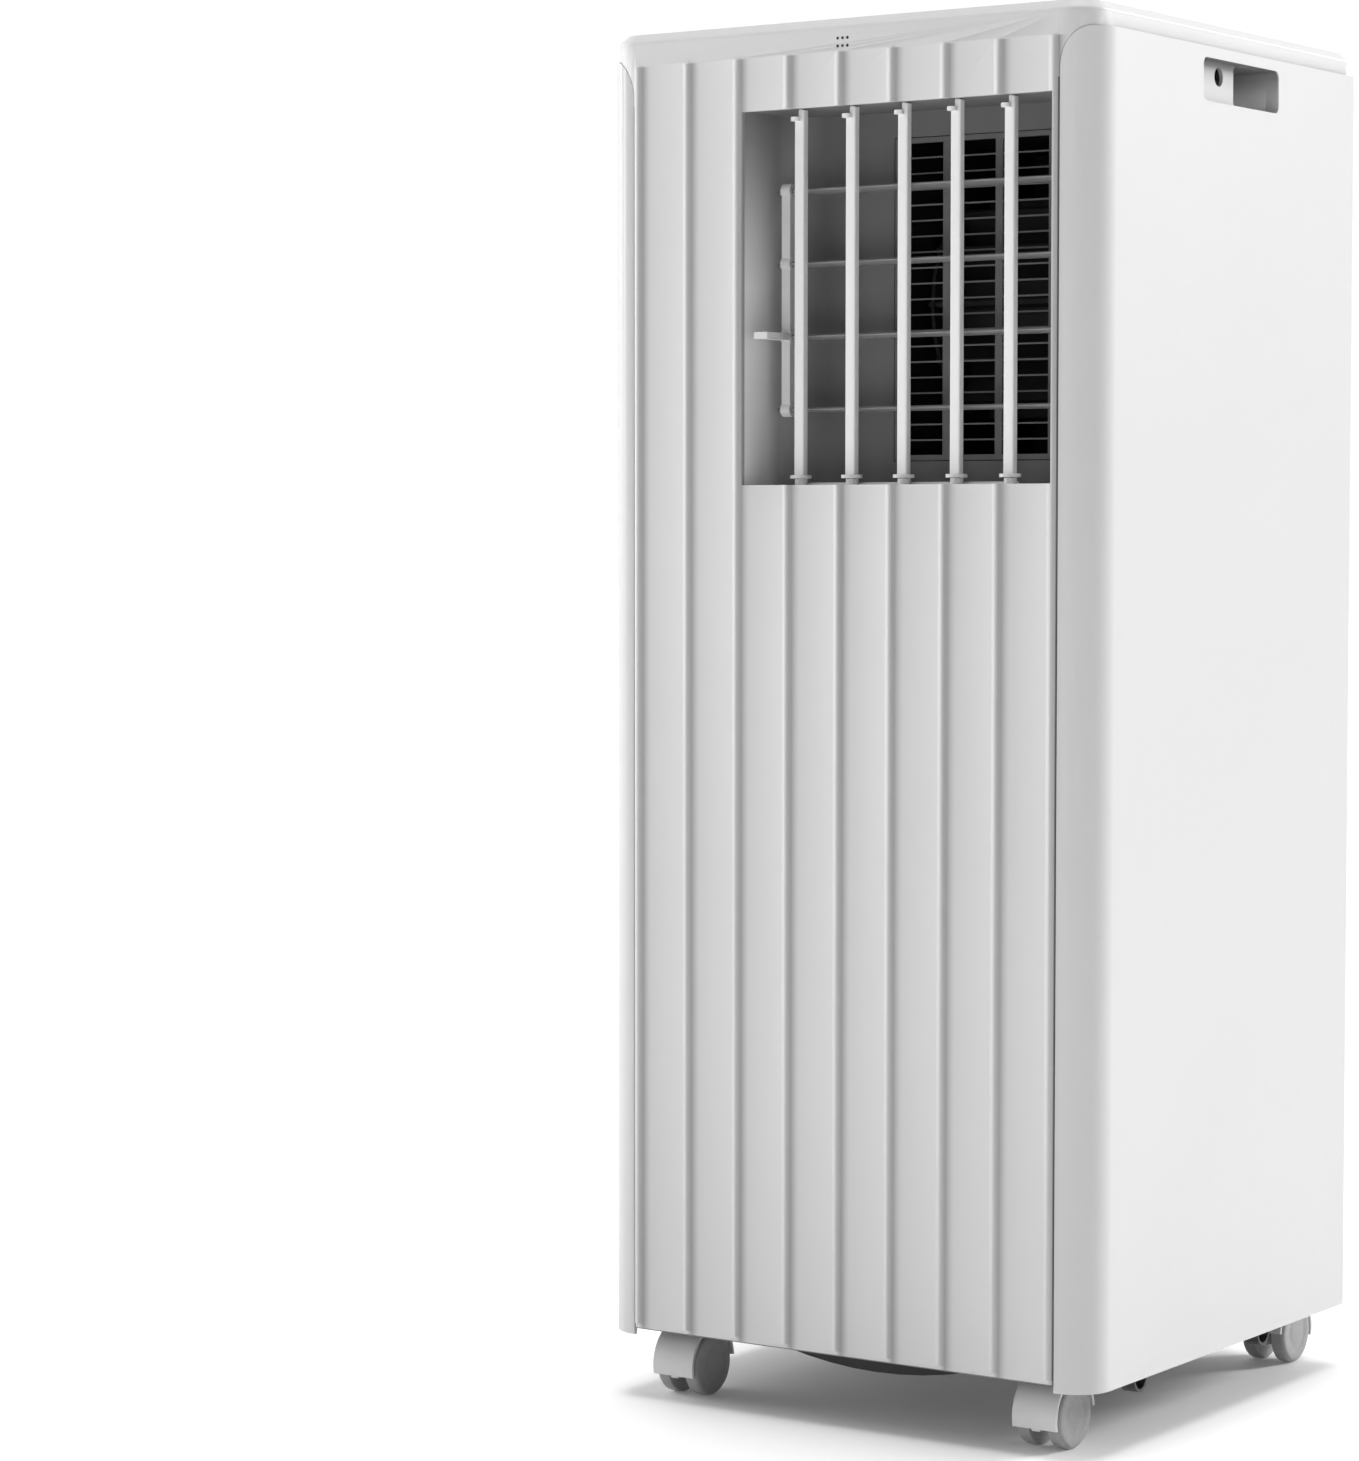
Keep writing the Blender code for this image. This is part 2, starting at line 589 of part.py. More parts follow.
def vertical_blades():
    """Five lens-shaped blades with a round flange below, an offset disc above, pivot pins and a
    crank pin."""
    x, y = VERTICAL_X[0], deep(VERTICAL_DEPTH)
    foot = BOSS_TOP + 0.3 * MM
    blade = plate("blade", arc((x, y), VERTICAL_SECTION, 0, 330, 11), "Z", foot + 1.2 * MM, BLADE_TOP)
    crank = (x, y + VERTICAL_CRANK)
    disc = (x - 1.6 * MM, y - 2.8 * MM)
    root = foot + 0.5 * MM
    additions = [
        cylinder("flange", 5.3 * MM, (x, y, foot), (x, y, foot + 1.7 * MM), 16),
        cylinder("disc", 4.2 * MM, (*disc, 650.4 * MM), (*disc, 652.4 * MM), 16),
        cylinder("pin", 1.1 * MM, (x, y, 468.6 * MM), (x, y, root), 8),
        cylinder("pin", 1.1 * MM, (x, y, BLADE_TOP - 0.3 * MM), (x, y, 658.0 * MM), 8),
        cylinder("crank", 0.8 * MM, (*crank, 468.9 * MM), (*crank, root), 8),
    ]
    paint = material("blade_plastic", (0.86, 0.86, 0.85), 0.4)
    first = finish(join(blade, *additions), "vertical_blade_1", paint, (x, y, 0))
    for number, x in enumerate(VERTICAL_X[1:], start=2):
        copy_to(first, f"vertical_blade_{number}", (x, y, 0))


def vertical_link():
    """The bar that joins the vertical blades' crank pins, just above the duct floor."""
    y = deep(VERTICAL_DEPTH + VERTICAL_CRANK)
    low, high = 469.1 * MM, 471.3 * MM
    bar = box("link", (VERTICAL_X[0], y - 0.8 * MM, low), (VERTICAL_X[-1], y + 0.8 * MM, high))
    eyes = [cylinder("eye", 1.6 * MM, (x, y, low), (x, y, high), 10) for x in VERTICAL_X]
    holes = [cylinder("hole", 1.0 * MM, (x, y, low - MM), (x, y, high + MM), 8) for x in VERTICAL_X]
    bar = cut(join(bar, together("eyes", eyes)), together("eye_holes", holes))
    paint = material("link_plastic", (0.80, 0.80, 0.79), 0.45)
    finish(bar, "vertical_link", paint, (VERTICAL_X[2], y, 0))


def horizontal_blades():
    """Four thin blades with a narrow left tail, pivot pins and a pin for the tie bar."""
    y, z = deep(HORIZONTAL_DEPTH), HORIZONTAL_Z[0]
    half = HORIZONTAL_CHORD / 2
    blade = plate("blade", arc((y, z), (half, 1.3 * MM), 0, 330, 11), "X", HORIZONTAL_LEFT, HORIZONTAL_RIGHT)
    tail = plate("tail", rectangle(y - 5.4 * MM, y + 8 * MM, z - 1.1 * MM, z + 1.1 * MM), "X",
                 -50 * MM, HORIZONTAL_LEFT + MM)
    front = y - HORIZONTAL_CRANK
    additions = [
        tail,
        cylinder("pin", 1.3 * MM, (-59 * MM, y, z), (-49 * MM, y, z), 8),
        cylinder("pin", 1.3 * MM, (HORIZONTAL_RIGHT - MM, y, z), (121.8 * MM, y, z), 8),
        cylinder("crank", 1.1 * MM, (-49 * MM, front, z), (HORIZONTAL_LEFT + 2 * MM, front, z), 8),
    ]
    paint = material("vane_plastic", (0.55, 0.55, 0.54), 0.5)
    first = finish(join(blade, *additions), "horizontal_blade_1", paint, (0, y, z))
    for number, z in enumerate(HORIZONTAL_Z[1:], start=2):
        copy_to(first, f"horizontal_blade_{number}", (0, y, z))


def horizontal_tie():
    """The upright bar that joins the horizontal blades' front pins, with the finger lever on it."""
    y = deep(HORIZONTAL_DEPTH) - HORIZONTAL_CRANK
    low, high = HORIZONTAL_Z[-1] - 4 * MM, HORIZONTAL_Z[0] + 4 * MM
    bar = box("tie", (-47 * MM, y - 2.3 * MM, low), (-43.5 * MM, y + 2.3 * MM, high))
    ends = (-48 * MM, -42.5 * MM)
    eyes = [cylinder("eye", 3.6 * MM, (ends[0], y, z), (ends[1], y, z), 12) for z in HORIZONTAL_Z]
    holes = [cylinder("hole", 1.35 * MM, (ends[0] - MM, y, z), (ends[1] + MM, y, z), 8) for z in HORIZONTAL_Z]
    z = HORIZONTAL_Z[2]
    lever = box("lever", (-50.6 * MM, deep(0.8 * MM), z - 1.7 * MM), (-42.6 * MM, y - 2 * MM, z + 1.7 * MM))
    bar = cut(join(bar, together("eyes", eyes), lever), together("eye_holes", holes))
    finish(bar, "horizontal_tie", material("tie_plastic", (0.62, 0.62, 0.61), 0.5), (0, y, z))


# ---------------------------------------------------------------- controls


def control_panel():
    """The key plate in the cover's window, with a flange below it."""
    y0, y1 = (deep(depth) for depth in PANEL_DEPTHS)
    face = rounded(-CONTROL_HALF, CONTROL_HALF, y0, y1, 8 * MM)
    face = plate("key_plate", face, "Z", 693.9 * MM, 697.2 * MM)
    flange = rectangle(-CONTROL_HALF - 3 * MM, CONTROL_HALF + 3 * MM, y0 - 3 * MM, y1 + 3 * MM)
    flange = plate("key_flange", flange, "Z", 693.3 * MM, 694.6 * MM)
    y = deep(BUTTON_DEPTH)
    holes = [
        cylinder("key_hole", BUTTON_RADIUS + GAP, (x, y, 690 * MM), (x, y, 700 * MM), 16) for x in BUTTON_X
    ]
    holes.append(box("window_hole", (-8.3 * MM, deep(48 * MM), 690 * MM), (14.3 * MM, deep(72 * MM), 700 * MM)))
    panel = cut(join(face, flange), together("holes", holes))
    finish(panel, "control_panel", material("key_plate_plastic", (0.20, 0.20, 0.21), 0.25))
    window = box("window", (-8 * MM, deep(48 * MM) + GAP, 695.0 * MM), (14 * MM, deep(72 * MM) - GAP, 697.0 * MM))
    finish(window, "display_window", material("display_lens", (0.05, 0.05, 0.06), 0.1))


def buttons():
    """Six round keys, each with a flange under the panel that keeps it in."""
    y = deep(BUTTON_DEPTH)
    profile = [(0, 698.2), (4.6, 698.2), (5.4, 697.6), (5.4, 692.9), (6.6, 692.9), (6.6, 691.6), (0, 691.6)]
    profile = [(r * MM, z * MM) for r, z in profile]
    key = turned("key", profile, (BUTTON_X[0], y, 0), steps=12)
    paint = material("key_plastic", (0.85, 0.85, 0.85), 0.4)
    first = finish(key, f"button_{BUTTON_NAMES[0]}", paint, (BUTTON_X[0], y, 0))
    for x, name in zip(BUTTON_X[1:], BUTTON_NAMES[1:]):
        copy_to(first, f"button_{name}", (x, y, 0))


def control_board():
    """The circuit board under the keys, with one switch under each."""
    board = box("board", (-84 * MM, deep(32 * MM), 686.8 * MM), (84 * MM, deep(90 * MM), 688.4 * MM))
    y = deep(BUTTON_DEPTH)
    switches = [
        box("switch", (x - 3 * MM, y - 3 * MM, 688 * MM), (x + 3 * MM, y + 3 * MM, 690.6 * MM)) for x in BUTTON_X
    ]
    display = box("display", (-6 * MM, deep(50 * MM), 688 * MM), (12 * MM, deep(70 * MM), 692.5 * MM))
    board = join(board, together("switches", switches), display)
    finish(board, "control_board", material("board_laminate", (0.05, 0.22, 0.10), 0.5))


def electrical_box():
    """The capacitor and wiring box behind the front panel."""
    body = box("wiring", (-128 * MM, deep(20 * MM), 262 * MM), (-62 * MM, deep(64 * MM), 400 * MM))
    can = cylinder("capacitor", 17 * MM, (-40 * MM, deep(42 * MM), 280 * MM), (-40 * MM, deep(42 * MM), 360 * MM), 16)
    strap = box("strap", (-64 * MM, deep(34 * MM), 300 * MM), (-50 * MM, deep(50 * MM), 320 * MM))
    finish(join(body, can, strap), "electrical_box", material("wiring_plastic", (0.80, 0.80, 0.78), 0.6))


# ---------------------------------------------------------------- machinery


def partition():
    """The deck between the cold upper half and the warm lower half."""
    holes = [circle((-100 * MM, deep(150 * MM)), 8 * MM, 12)]
    outline = rounded(-134 * MM, 134 * MM, deep(6 * MM), deep(279 * MM), 14 * MM)
    deck = plate("deck", outline, "Z", PARTITION_Z - 2 * MM, PARTITION_Z + MM, holes)
    tray = box("tray", (-120 * MM, deep(228 * MM), PARTITION_Z), (120 * MM, deep(268 * MM), PARTITION_Z + 10 * MM))
    well = box("well", (-118 * MM, deep(230 * MM), PARTITION_Z + 3 * MM), (118 * MM, deep(266 * MM), PARTITION_Z + 12 * MM))
    finish(cut(join(deck, tray), well), "partition", material("deck_plastic", (0.15, 0.15, 0.15), 0.7))


def coils():
    """The two finned heat exchangers, as solid blocks of their outer size."""
    fins = material("fin_aluminium", (0.75, 0.76, 0.78), 0.35, 1.0)
    low = box("coil", (-116 * MM, deep(236 * MM), 454 * MM), (116 * MM, deep(258 * MM), 652 * MM))
    finish(low, "evaporator_coil", fins)
    low = box("coil", (-116 * MM, deep(248 * MM), 60 * MM), (116 * MM, deep(270 * MM), 262 * MM))
    finish(low, "condenser_coil", fins)


def compressor():
    """The welded can on its foot plate, with the accumulator strapped beside it."""
    x, y = -72 * MM, deep(86 * MM)
    profile = [(0, 214), (20, 214), (40, 206), (50, 190), (50, 70), (44, 58), (51, 58), (51, 54), (0, 54)]
    can = turned("can", [(r * MM, z * MM) for r, z in profile], (x, y, 0), steps=20)
    profile = [(0, 196), (12, 194), (18, 184), (18, 92), (12, 82), (0, 80)]
    tank = turned("tank", [(r * MM, z * MM) for r, z in profile], (-100 * MM, deep(160 * MM), 0), steps=16)
    strap = box("strap", (-92 * MM, deep(126 * MM), 120 * MM), (-80 * MM, deep(158 * MM), 140 * MM))
    posts = [
        cylinder("post", 7 * MM, (x + 46 * MM * math.cos(a), y + 46 * MM * math.sin(a), 42 * MM),
                 (x + 46 * MM * math.cos(a), y + 46 * MM * math.sin(a), 56 * MM), 10)
        for a in (math.radians(90 + 120 * i) for i in range(3))
    ]
    can = join(can, tank, strap, together("posts", posts))
    finish(can, "compressor", material("can_paint", (0.03, 0.03, 0.03), 0.35))


def pipe(name, route, radius, paint):
    """A copper pipe through the given points with rounded bends."""
    curve = bpy.data.curves.new(name, "CURVE")
    curve.dimensions = "3D"
    curve.bevel_depth = radius
    curve.bevel_resolution = 2
    curve.use_fill_caps = True
    points = [Vector(route[0])]
    for before, corner, after in zip(route, route[1:], route[2:]):
        corner = Vector(corner)
        into = corner + (Vector(before) - corner).normalized() * 14 * MM
        out = corner + (Vector(after) - corner).normalized() * 14 * MM
        for t in (0.0, 0.33, 0.67, 1.0):
            points.append(into.lerp(corner, t).lerp(corner.lerp(out, t), t))
    points.append(Vector(route[-1]))
    spline = curve.splines.new("POLY")
    spline.points.add(len(points) - 1)
    for point, at in zip(spline.points, points):
        point.co = (*at, 1)
    obj = bpy.data.objects.new(name, curve)
    PARTS.objects.link(obj)
    finish(obj, name, paint)


def pipes():
    copper = material("pipe_copper", (0.80, 0.42, 0.25), 0.3, 1.0)
    x, y = -100 * MM, deep(150 * MM)
    suction = [(x, y, 197 * MM), (x, y, 540 * MM), (x, deep(235.5 * MM), 540 * MM)]
    pipe("suction_pipe", suction, 4 * MM, copper)
    x, y = -72 * MM, deep(86 * MM)
    discharge = [(x, y, 214.5 * MM), (x, y, 240 * MM), (x, deep(247.5 * MM), 240 * MM)]
    pipe("discharge_pipe", discharge, 3.5 * MM, copper)


def wheel_outline(centre, hub, tip, blades):
    """A paddle wheel seen along its axis."""
    points = []
    for blade in range(blades):
        middle = 360 * blade / blades
        for radius, offset in ((hub, -3.0), (tip, -1.2), (tip, 1.2), (hub, 3.0)):
            angle = math.radians(middle + offset)
            points.append((centre[0] + radius * math.cos(angle), centre[1] + radius * math.sin(angle)))
    return points


def evaporator_blower():
    """The blower that drives room air through the outlet grille, with its housing and motor."""
    y, z = deep(BLOWER_DEPTH), BLOWER_Z
    outer = rounded(deep(56.5 * MM), deep(196 * MM), 476 * MM, 648 * MM, 4 * MM, 2)
    housing = plate("volute", outer, "X", -2 * MM, 122 * MM)
    inner = rounded(deep(50 * MM), deep(193.5 * MM), 478.5 * MM, 645.5 * MM, 3 * MM, 2)
    inside = plate("volute_inside", inner, "X", 0.5 * MM, 119.5 * MM)
    intake = box("intake", (8 * MM, deep(190 * MM), 506 * MM), (112 * MM, deep(200 * MM), 616 * MM))
    shaft_hole = cylinder("shaft_hole", 6 * MM, (-4 * MM, y, z), (2 * MM, y, z), 12)
    housing = cut(housing, inside, intake, shaft_hole)
    finish(housing, "evaporator_housing", material("volute_plastic", (0.12, 0.12, 0.12), 0.7))
    rotor = plate("rotor", wheel_outline((y, z), 30 * MM, 56 * MM, 12), "X", 8 * MM, 112 * MM)
    disc = cylinder("disc", 57 * MM, (10 * MM, y, z), (12 * MM, y, z), 24)
    bore = cylinder("rotor_bore", 4.3 * MM, (6 * MM, y, z), (16 * MM, y, z), 12)
    rotor = cut(join(rotor, disc), bore)
    finish(rotor, "evaporator_wheel", material("rotor_plastic", (0.08, 0.08, 0.08), 0.6), (0, y, z))
    motor = cylinder("motor", 34 * MM, (-52 * MM, y, z), (-2.3 * MM, y, z), 24)
    shaft = cylinder("shaft", 4 * MM, (-3 * MM, y, z), (15 * MM, y, z), 12)
    finish(join(motor, shaft), "evaporator_motor", material("motor_steel", (0.55, 0.55, 0.56), 0.35, 1.0))


def condenser_fan():
    """The fan that blows warm air out of the rear collar, with its scroll, motor and collar."""
    x, z = EXHAUST_X, FAN_Z
    front, back = deep(168 * MM), deep(228 * MM)

    def scroll(label, radius, top, near, far):
        outline = arc((x, z), (radius, radius), 180, 360, 12)
        return plate(label, outline + [(x + radius, top), (x - radius, top)], "Y", near, far)

    housing = scroll("scroll", 74 * MM, 414 * MM, front, back)
    inside = scroll("scroll_inside", 71.5 * MM, 411.5 * MM, front + 2.5 * MM, back - 2.5 * MM)
    intake = cylinder("intake", 44 * MM, (x, back - 5 * MM, z), (x, back + 2 * MM, z), 24)
    outlet = cylinder("outlet", 59 * MM, (x, back - 5 * MM, EXHAUST_Z), (x, back + 2 * MM, EXHAUST_Z), 32)
    shaft_hole = cylinder("shaft_hole", 6 * MM, (x, front - MM, z), (x, front + 4 * MM, z), 12)
    housing = cut(housing, inside, intake, outlet, shaft_hole)
    finish(housing, "condenser_housing", material("scroll_plastic", (0.12, 0.12, 0.12), 0.7))
    rotor = plate("rotor", wheel_outline((x, z), 26 * MM, 60 * MM, 12), "Y", deep(176 * MM), deep(220 * MM))
    disc = cylinder("disc", 61 * MM, (x, deep(177 * MM), z), (x, deep(179 * MM), z), 24)
    bore = cylinder("rotor_bore", 4.3 * MM, (x, deep(174 * MM), z), (x, deep(186 * MM), z), 12)
    rotor = cut(join(rotor, disc), bore)
    finish(rotor, "condenser_wheel", material("fan_plastic", (0.08, 0.08, 0.08), 0.6), (x, 0, z))
    motor = cylinder("motor", 32 * MM, (x, deep(118 * MM), z), (x, front - GAP, z), 24)
    shaft = cylinder("shaft", 4 * MM, (x, front - MM, z), (x, deep(185 * MM), z), 12)
    finish(join(motor, shaft), "condenser_motor", material("motor_case", (0.55, 0.55, 0.56), 0.35, 1.0))
    profile = [(70, -285.3), (70, -288.3), (62, -288.3), (62, -EXHAUST_END / MM), (59.5, -EXHAUST_END / MM),
               (59.5, -228.3), (62, -228.3), (62, -285.3), (70, -285.3)]
    profile = [(r * MM, (h + 150.0) * MM) for r, h in reversed(profile)]
    collar = turned("collar", profile, (x, 0, EXHAUST_Z), "Y", 32)
    finish(collar, "exhaust_collar", material("collar_plastic", (0.72, 0.72, 0.71), 0.5))


def rear_fittings():
    """The rubber drain plug and the gland that the power cord enters by."""
    at = [(DRAIN_X, deep(d * MM), DRAIN_Z) for d in (274, 286, 285.3, 288)]
    plug = join(cylinder("plug", 4.6 * MM, at[0], at[1], 12), cylinder("plug_head", 9 * MM, at[2], at[3], 16))
    tab = box("plug_tab", (DRAIN_X - MM, deep(287.5 * MM), DRAIN_Z - 6 * MM), (DRAIN_X + MM, deep(296 * MM), DRAIN_Z + 6 * MM))
    finish(join(plug, tab), "drain_plug", material("plug_rubber", (0.04, 0.04, 0.04), 0.8))
    at = [(CORD_X, deep(d * MM), CORD_Z) for d in (279, 286, 285.3, 288, 277, 290)]
    gland = join(cylinder("gland", 6 * MM, at[0], at[1], 12), cylinder("gland_head", 9.5 * MM, at[2], at[3], 16))
    bore = cylinder("gland_bore", 3.6 * MM, at[4], at[5], 12)
    finish(cut(gland, bore), "cord_gland", material("gland_rubber", (0.04, 0.04, 0.04), 0.7))


# ---------------------------------------------------------------- casters


def stem_depths():
    """Depths of the caster stems: each axle trails outwards from its stem."""
    return {"front": AXLE_DEPTHS["front"] + AXLE_TRAIL, "rear": AXLE_DEPTHS["rear"] - AXLE_TRAIL}


def caster_frame(x, y):
    """The swivelling frame of a caster whose stem stands at x, y: hood, web, stub axles and stem."""
    axle_y = y - AXLE_TRAIL
    z = WHEEL_RADIUS
    outer = arc((axle_y, z), (HOOD_RADIUS, HOOD_RADIUS), 194, 5, 14)
    inner = arc((axle_y, z), (HOOD_RADIUS - 1.6 * MM, HOOD_RADIUS - 1.6 * MM), 5, 194, 14)
    hood = plate("hood", outer + inner, "X", x - HOOD_HALF, x + HOOD_HALF)
    web = cylinder("web", HOOD_RADIUS - 0.8 * MM, (x - 2.2 * MM, axle_y, z), (x + 2.2 * MM, axle_y, z), 16)
    trim = box("web_trim", (x - 9 * MM, axle_y - 22 * MM, -5 * MM), (x + 9 * MM, axle_y + 22 * MM, 10.5 * MM))
    web = mesh_of(cut(web, trim))
    axle = cylinder("axle", 2 * MM, (x - 10.6 * MM, axle_y, z), (x + 10.6 * MM, axle_y, z), 12)
    stem = cylinder("stem", 3.1 * MM, (x, y, z + 10 * MM), (x, y, 53 * MM), 12)
    return join(hood, web, axle, stem)


def caster_wheel(x, y, outward):
    """A wheel with a plain domed outer face, hollow on its inner side, bored for the stub axle."""
    z = WHEEL_RADIUS
    face = WHEEL_OUTER
    back = WHEEL_OUTER - WHEEL_WIDTH
    profile = [
        (0, face), (14.8 * MM, face - 0.6 * MM), (WHEEL_RADIUS, face - 2 * MM), (WHEEL_RADIUS, back),
        (13.6 * MM, back), (13.6 * MM, face - 2.4 * MM), (4.4 * MM, face - 1.9 * MM), (4.4 * MM, back),
        (2.2 * MM, back), (2.2 * MM, face - 1.6 * MM), (0, face - 1.6 * MM),
    ]
    wheel = turned("wheel", profile, (0, 0, 0), steps=16)
    turn = Matrix.Rotation(math.radians(90 * outward), 4, "Y")
    wheel.data.transform(Matrix.Translation((x, y, z)) @ turn)
    return wheel


def casters():
    """Four casters: the front pair's hoods face forwards and the rear pair's face backwards."""
    grey = material("caster_plastic", (0.66, 0.66, 0.65), 0.5)
    tread = material("caster_wheel_plastic", (0.36, 0.36, 0.36), 0.5)
    depths = stem_depths()
    x, y = CASTER_X, deep(depths["front"])
    axle_y = y - AXLE_TRAIL
    frame = finish(caster_frame(x, y), "caster_frame_front_right", grey, (x, y, 0))
    at = (x, axle_y, WHEEL_RADIUS)
    right = finish(caster_wheel(x, axle_y, 1), "wheel_front_right_outer", tread, at)
    left = finish(caster_wheel(x, axle_y, -1), "wheel_front_right_inner", tread, at)
    for end, turn in (("front", 0.0), ("rear", math.pi)):
        for side, sign in (("right", 1), ("left", -1)):
            if (end, side) == ("front", "right"):
                continue
            corner = f"{end}_{side}"
            copy_to(frame, f"caster_frame_{corner}", (sign * CASTER_X, deep(depths[end]), 0), turn)
            at = (sign * CASTER_X, deep(AXLE_DEPTHS[end]), WHEEL_RADIUS)
            outer, inner = (right, left) if (sign > 0) == (turn == 0.0) else (left, right)
            copy_to(outer, f"wheel_{corner}_outer", at, turn)
            copy_to(inner, f"wheel_{corner}_inner", at, turn)


def main():
    start_scene()
    side_shells()
    front_panel()
    top_cover()
    rear_panel()
    filters()
    base_pan()
    outlet_duct()
    outlet_grille()
    vertical_blades()
    vertical_link()
    horizontal_blades()
    horizontal_tie()
    control_panel()
    buttons()
    control_board()
    electrical_box()
    partition()
    coils()
    compressor()
    pipes()
    evaporator_blower()
    condenser_fan()
    rear_fittings()
    casters()


main()
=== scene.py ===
"""Looks of a portable air conditioner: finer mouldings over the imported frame, their finishes, the
camera and the studio. Metres, +Z up, the front faces -Y."""

import json
import math

import bmesh
import bpy
from mathutils import Matrix, Vector


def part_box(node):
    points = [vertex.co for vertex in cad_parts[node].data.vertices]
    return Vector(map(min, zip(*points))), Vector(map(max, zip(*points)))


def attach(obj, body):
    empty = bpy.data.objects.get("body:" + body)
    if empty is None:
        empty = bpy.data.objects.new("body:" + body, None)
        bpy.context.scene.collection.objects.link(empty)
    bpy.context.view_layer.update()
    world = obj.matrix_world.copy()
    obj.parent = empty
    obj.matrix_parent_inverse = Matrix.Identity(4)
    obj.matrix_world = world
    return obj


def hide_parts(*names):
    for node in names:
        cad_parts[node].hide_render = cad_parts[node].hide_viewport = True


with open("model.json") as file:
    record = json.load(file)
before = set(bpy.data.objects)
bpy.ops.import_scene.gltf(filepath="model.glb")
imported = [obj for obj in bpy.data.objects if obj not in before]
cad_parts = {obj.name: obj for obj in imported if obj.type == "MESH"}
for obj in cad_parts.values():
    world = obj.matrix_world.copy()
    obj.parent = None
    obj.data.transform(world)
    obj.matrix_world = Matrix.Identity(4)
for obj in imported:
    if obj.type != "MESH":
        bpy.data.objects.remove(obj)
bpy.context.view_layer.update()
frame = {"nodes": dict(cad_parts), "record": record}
nodes = frame["nodes"]

MM = 0.001
TOUCH = 1e-6  # two places closer than this are the same
SMALL_ROUND, ROUND, LARGE_ROUND = 24, 48, 96  # sides of a round part

# The cabinet's main sizes. The ear is the rounded upper corner of a shell, by its width and height.
FRONT_Y = -0.150
WALL = 2.4 * MM
GAP = 0.3 * MM
HALF_WIDTH = 143.1 * MM
SEAM_X = 123.1 * MM
PANEL_HALF = SEAM_X - GAP
BACK_Y = 135.0 * MM
CORNER = 20.0 * MM
SHELL_LOW, SHELL_HIGH = 33.4 * MM, 685.8 * MM
EAR = (16.0 * MM, 20.0 * MM)
BAND_HIGH = 693.1 * MM
BAND_LOW = SHELL_HIGH - EAR[1] - 4 * MM
TOP_Z = 698.4 * MM
RIB_PITCH = 30 * MM
OUTLET_LOW = Vector((-57.2 * MM, FRONT_Y, 470.0 * MM))
OUTLET_HIGH = Vector((120.0 * MM, FRONT_Y, 655.5 * MM))


# ---------------------------------------------------------------- at the bench


def deselect_all():
    for obj in list(bpy.context.selected_objects):
        obj.select_set(False)


def activate(piece):
    deselect_all()
    piece.select_set(True)
    bpy.context.view_layer.objects.active = piece


def settle(piece, name):
    """Names a new primitive and puts its place, turn and size into its mesh."""
    piece.name = name
    piece.data.name = name
    activate(piece)
    bpy.ops.object.transform_apply(location=True, rotation=True, scale=True)
    return piece


def block(name, low, high):
    """A block between two opposite corners."""
    deselect_all()
    middle = [0.5 * (a + b) for a, b in zip(low, high)]
    bpy.ops.mesh.primitive_cube_add(size=1, location=middle)
    piece = bpy.context.object
    piece.scale = [b - a for a, b in zip(low, high)]
    return settle(piece, name)


def rod(name, radius, start, end, sides=ROUND, squeeze=1.0):
    """A cylinder between two points. squeeze narrows it across, to an oval."""
    deselect_all()
    start, end = Vector(start), Vector(end)
    along = end - start
    bpy.ops.mesh.primitive_cylinder_add(
        vertices=sides, radius=radius, depth=along.length, location=0.5 * (start + end)
    )
    piece = bpy.context.object
    piece.rotation_euler = along.to_track_quat("Z", "Y").to_euler()
    piece.scale = (squeeze, 1, 1)
    return settle(piece, name)


def start_editing(piece, mode):
    """Enters edit mode with nothing selected."""
    activate(piece)
    bpy.ops.object.mode_set(mode="EDIT")
    bpy.ops.mesh.select_mode(type=mode)
    bpy.ops.mesh.select_all(action="DESELECT")
    return bmesh.from_edit_mesh(piece.data)


def stop_editing():
    bpy.ops.object.mode_set(mode="OBJECT")


def pick_edges(piece, test):
    """Enters edit mode with the edges selected whose two ends pass the test."""
    shape = start_editing(piece, "EDGE")
    for edge in shape.edges:
        edge.select_set(bool(test(edge.verts[0].co, edge.verts[1].co)))
    bmesh.update_edit_mesh(piece.data)


def pick_faces(piece, test):
    """Enters edit mode with the faces selected whose centre and normal pass the test."""
    shape = start_editing(piece, "FACE")
    for face in shape.faces:
        face.select_set(bool(test(face.calc_center_median(), face.normal)))
    bmesh.update_edit_mesh(piece.data)


def round_edges(piece, radius, segments, test):
    """Rounds the edges that pass the test, while the piece is still a plain block."""
    pick_edges(piece, test)
    bpy.ops.mesh.bevel(offset=radius, segments=segments, affect="EDGES", clamp_overlap=False)
    stop_editing()
    return piece


def upright(a, b):
    return abs(a.x - b.x) < TOUCH and abs(a.y - b.y) < TOUCH


def crosswise(a, b):
    """From side to side."""
    return abs(a.y - b.y) < TOUCH and abs(a.z - b.z) < TOUCH


def lengthwise(a, b):
    """From front to back."""
    return abs(a.x - b.x) < TOUCH and abs(a.z - b.z) < TOUCH


def rounded_block(name, low, high, radius, segments=10, rear_radius=None):
    """A block with rounded upright edges. rear_radius is that of the two at the back."""
    piece = block(name, low, high)
    rear = radius if rear_radius is None else rear_radius
    middle = 0.5 * (low[1] + high[1])
    round_edges(piece, radius, segments, lambda a, b: upright(a, b) and a.y < middle)
    if rear > 0:
        round_edges(piece, rear, max(3, segments // 2), lambda a, b: upright(a, b) and abs(a.y - high[1]) < TOUCH)
    return piece


def apply_modifier(piece, modifier):
    activate(piece)
    bpy.ops.object.modifier_apply(modifier=modifier.name)


def combine(piece, tools, operation):
    """Works the tools into a piece one by one, and clears them away."""
    for tool in tools:
        modifier = piece.modifiers.new(operation.title(), "BOOLEAN")
        modifier.operation = operation
        modifier.solver = "EXACT"
        modifier.object = tool
        apply_modifier(piece, modifier)
        bpy.data.objects.remove(tool)
    return piece


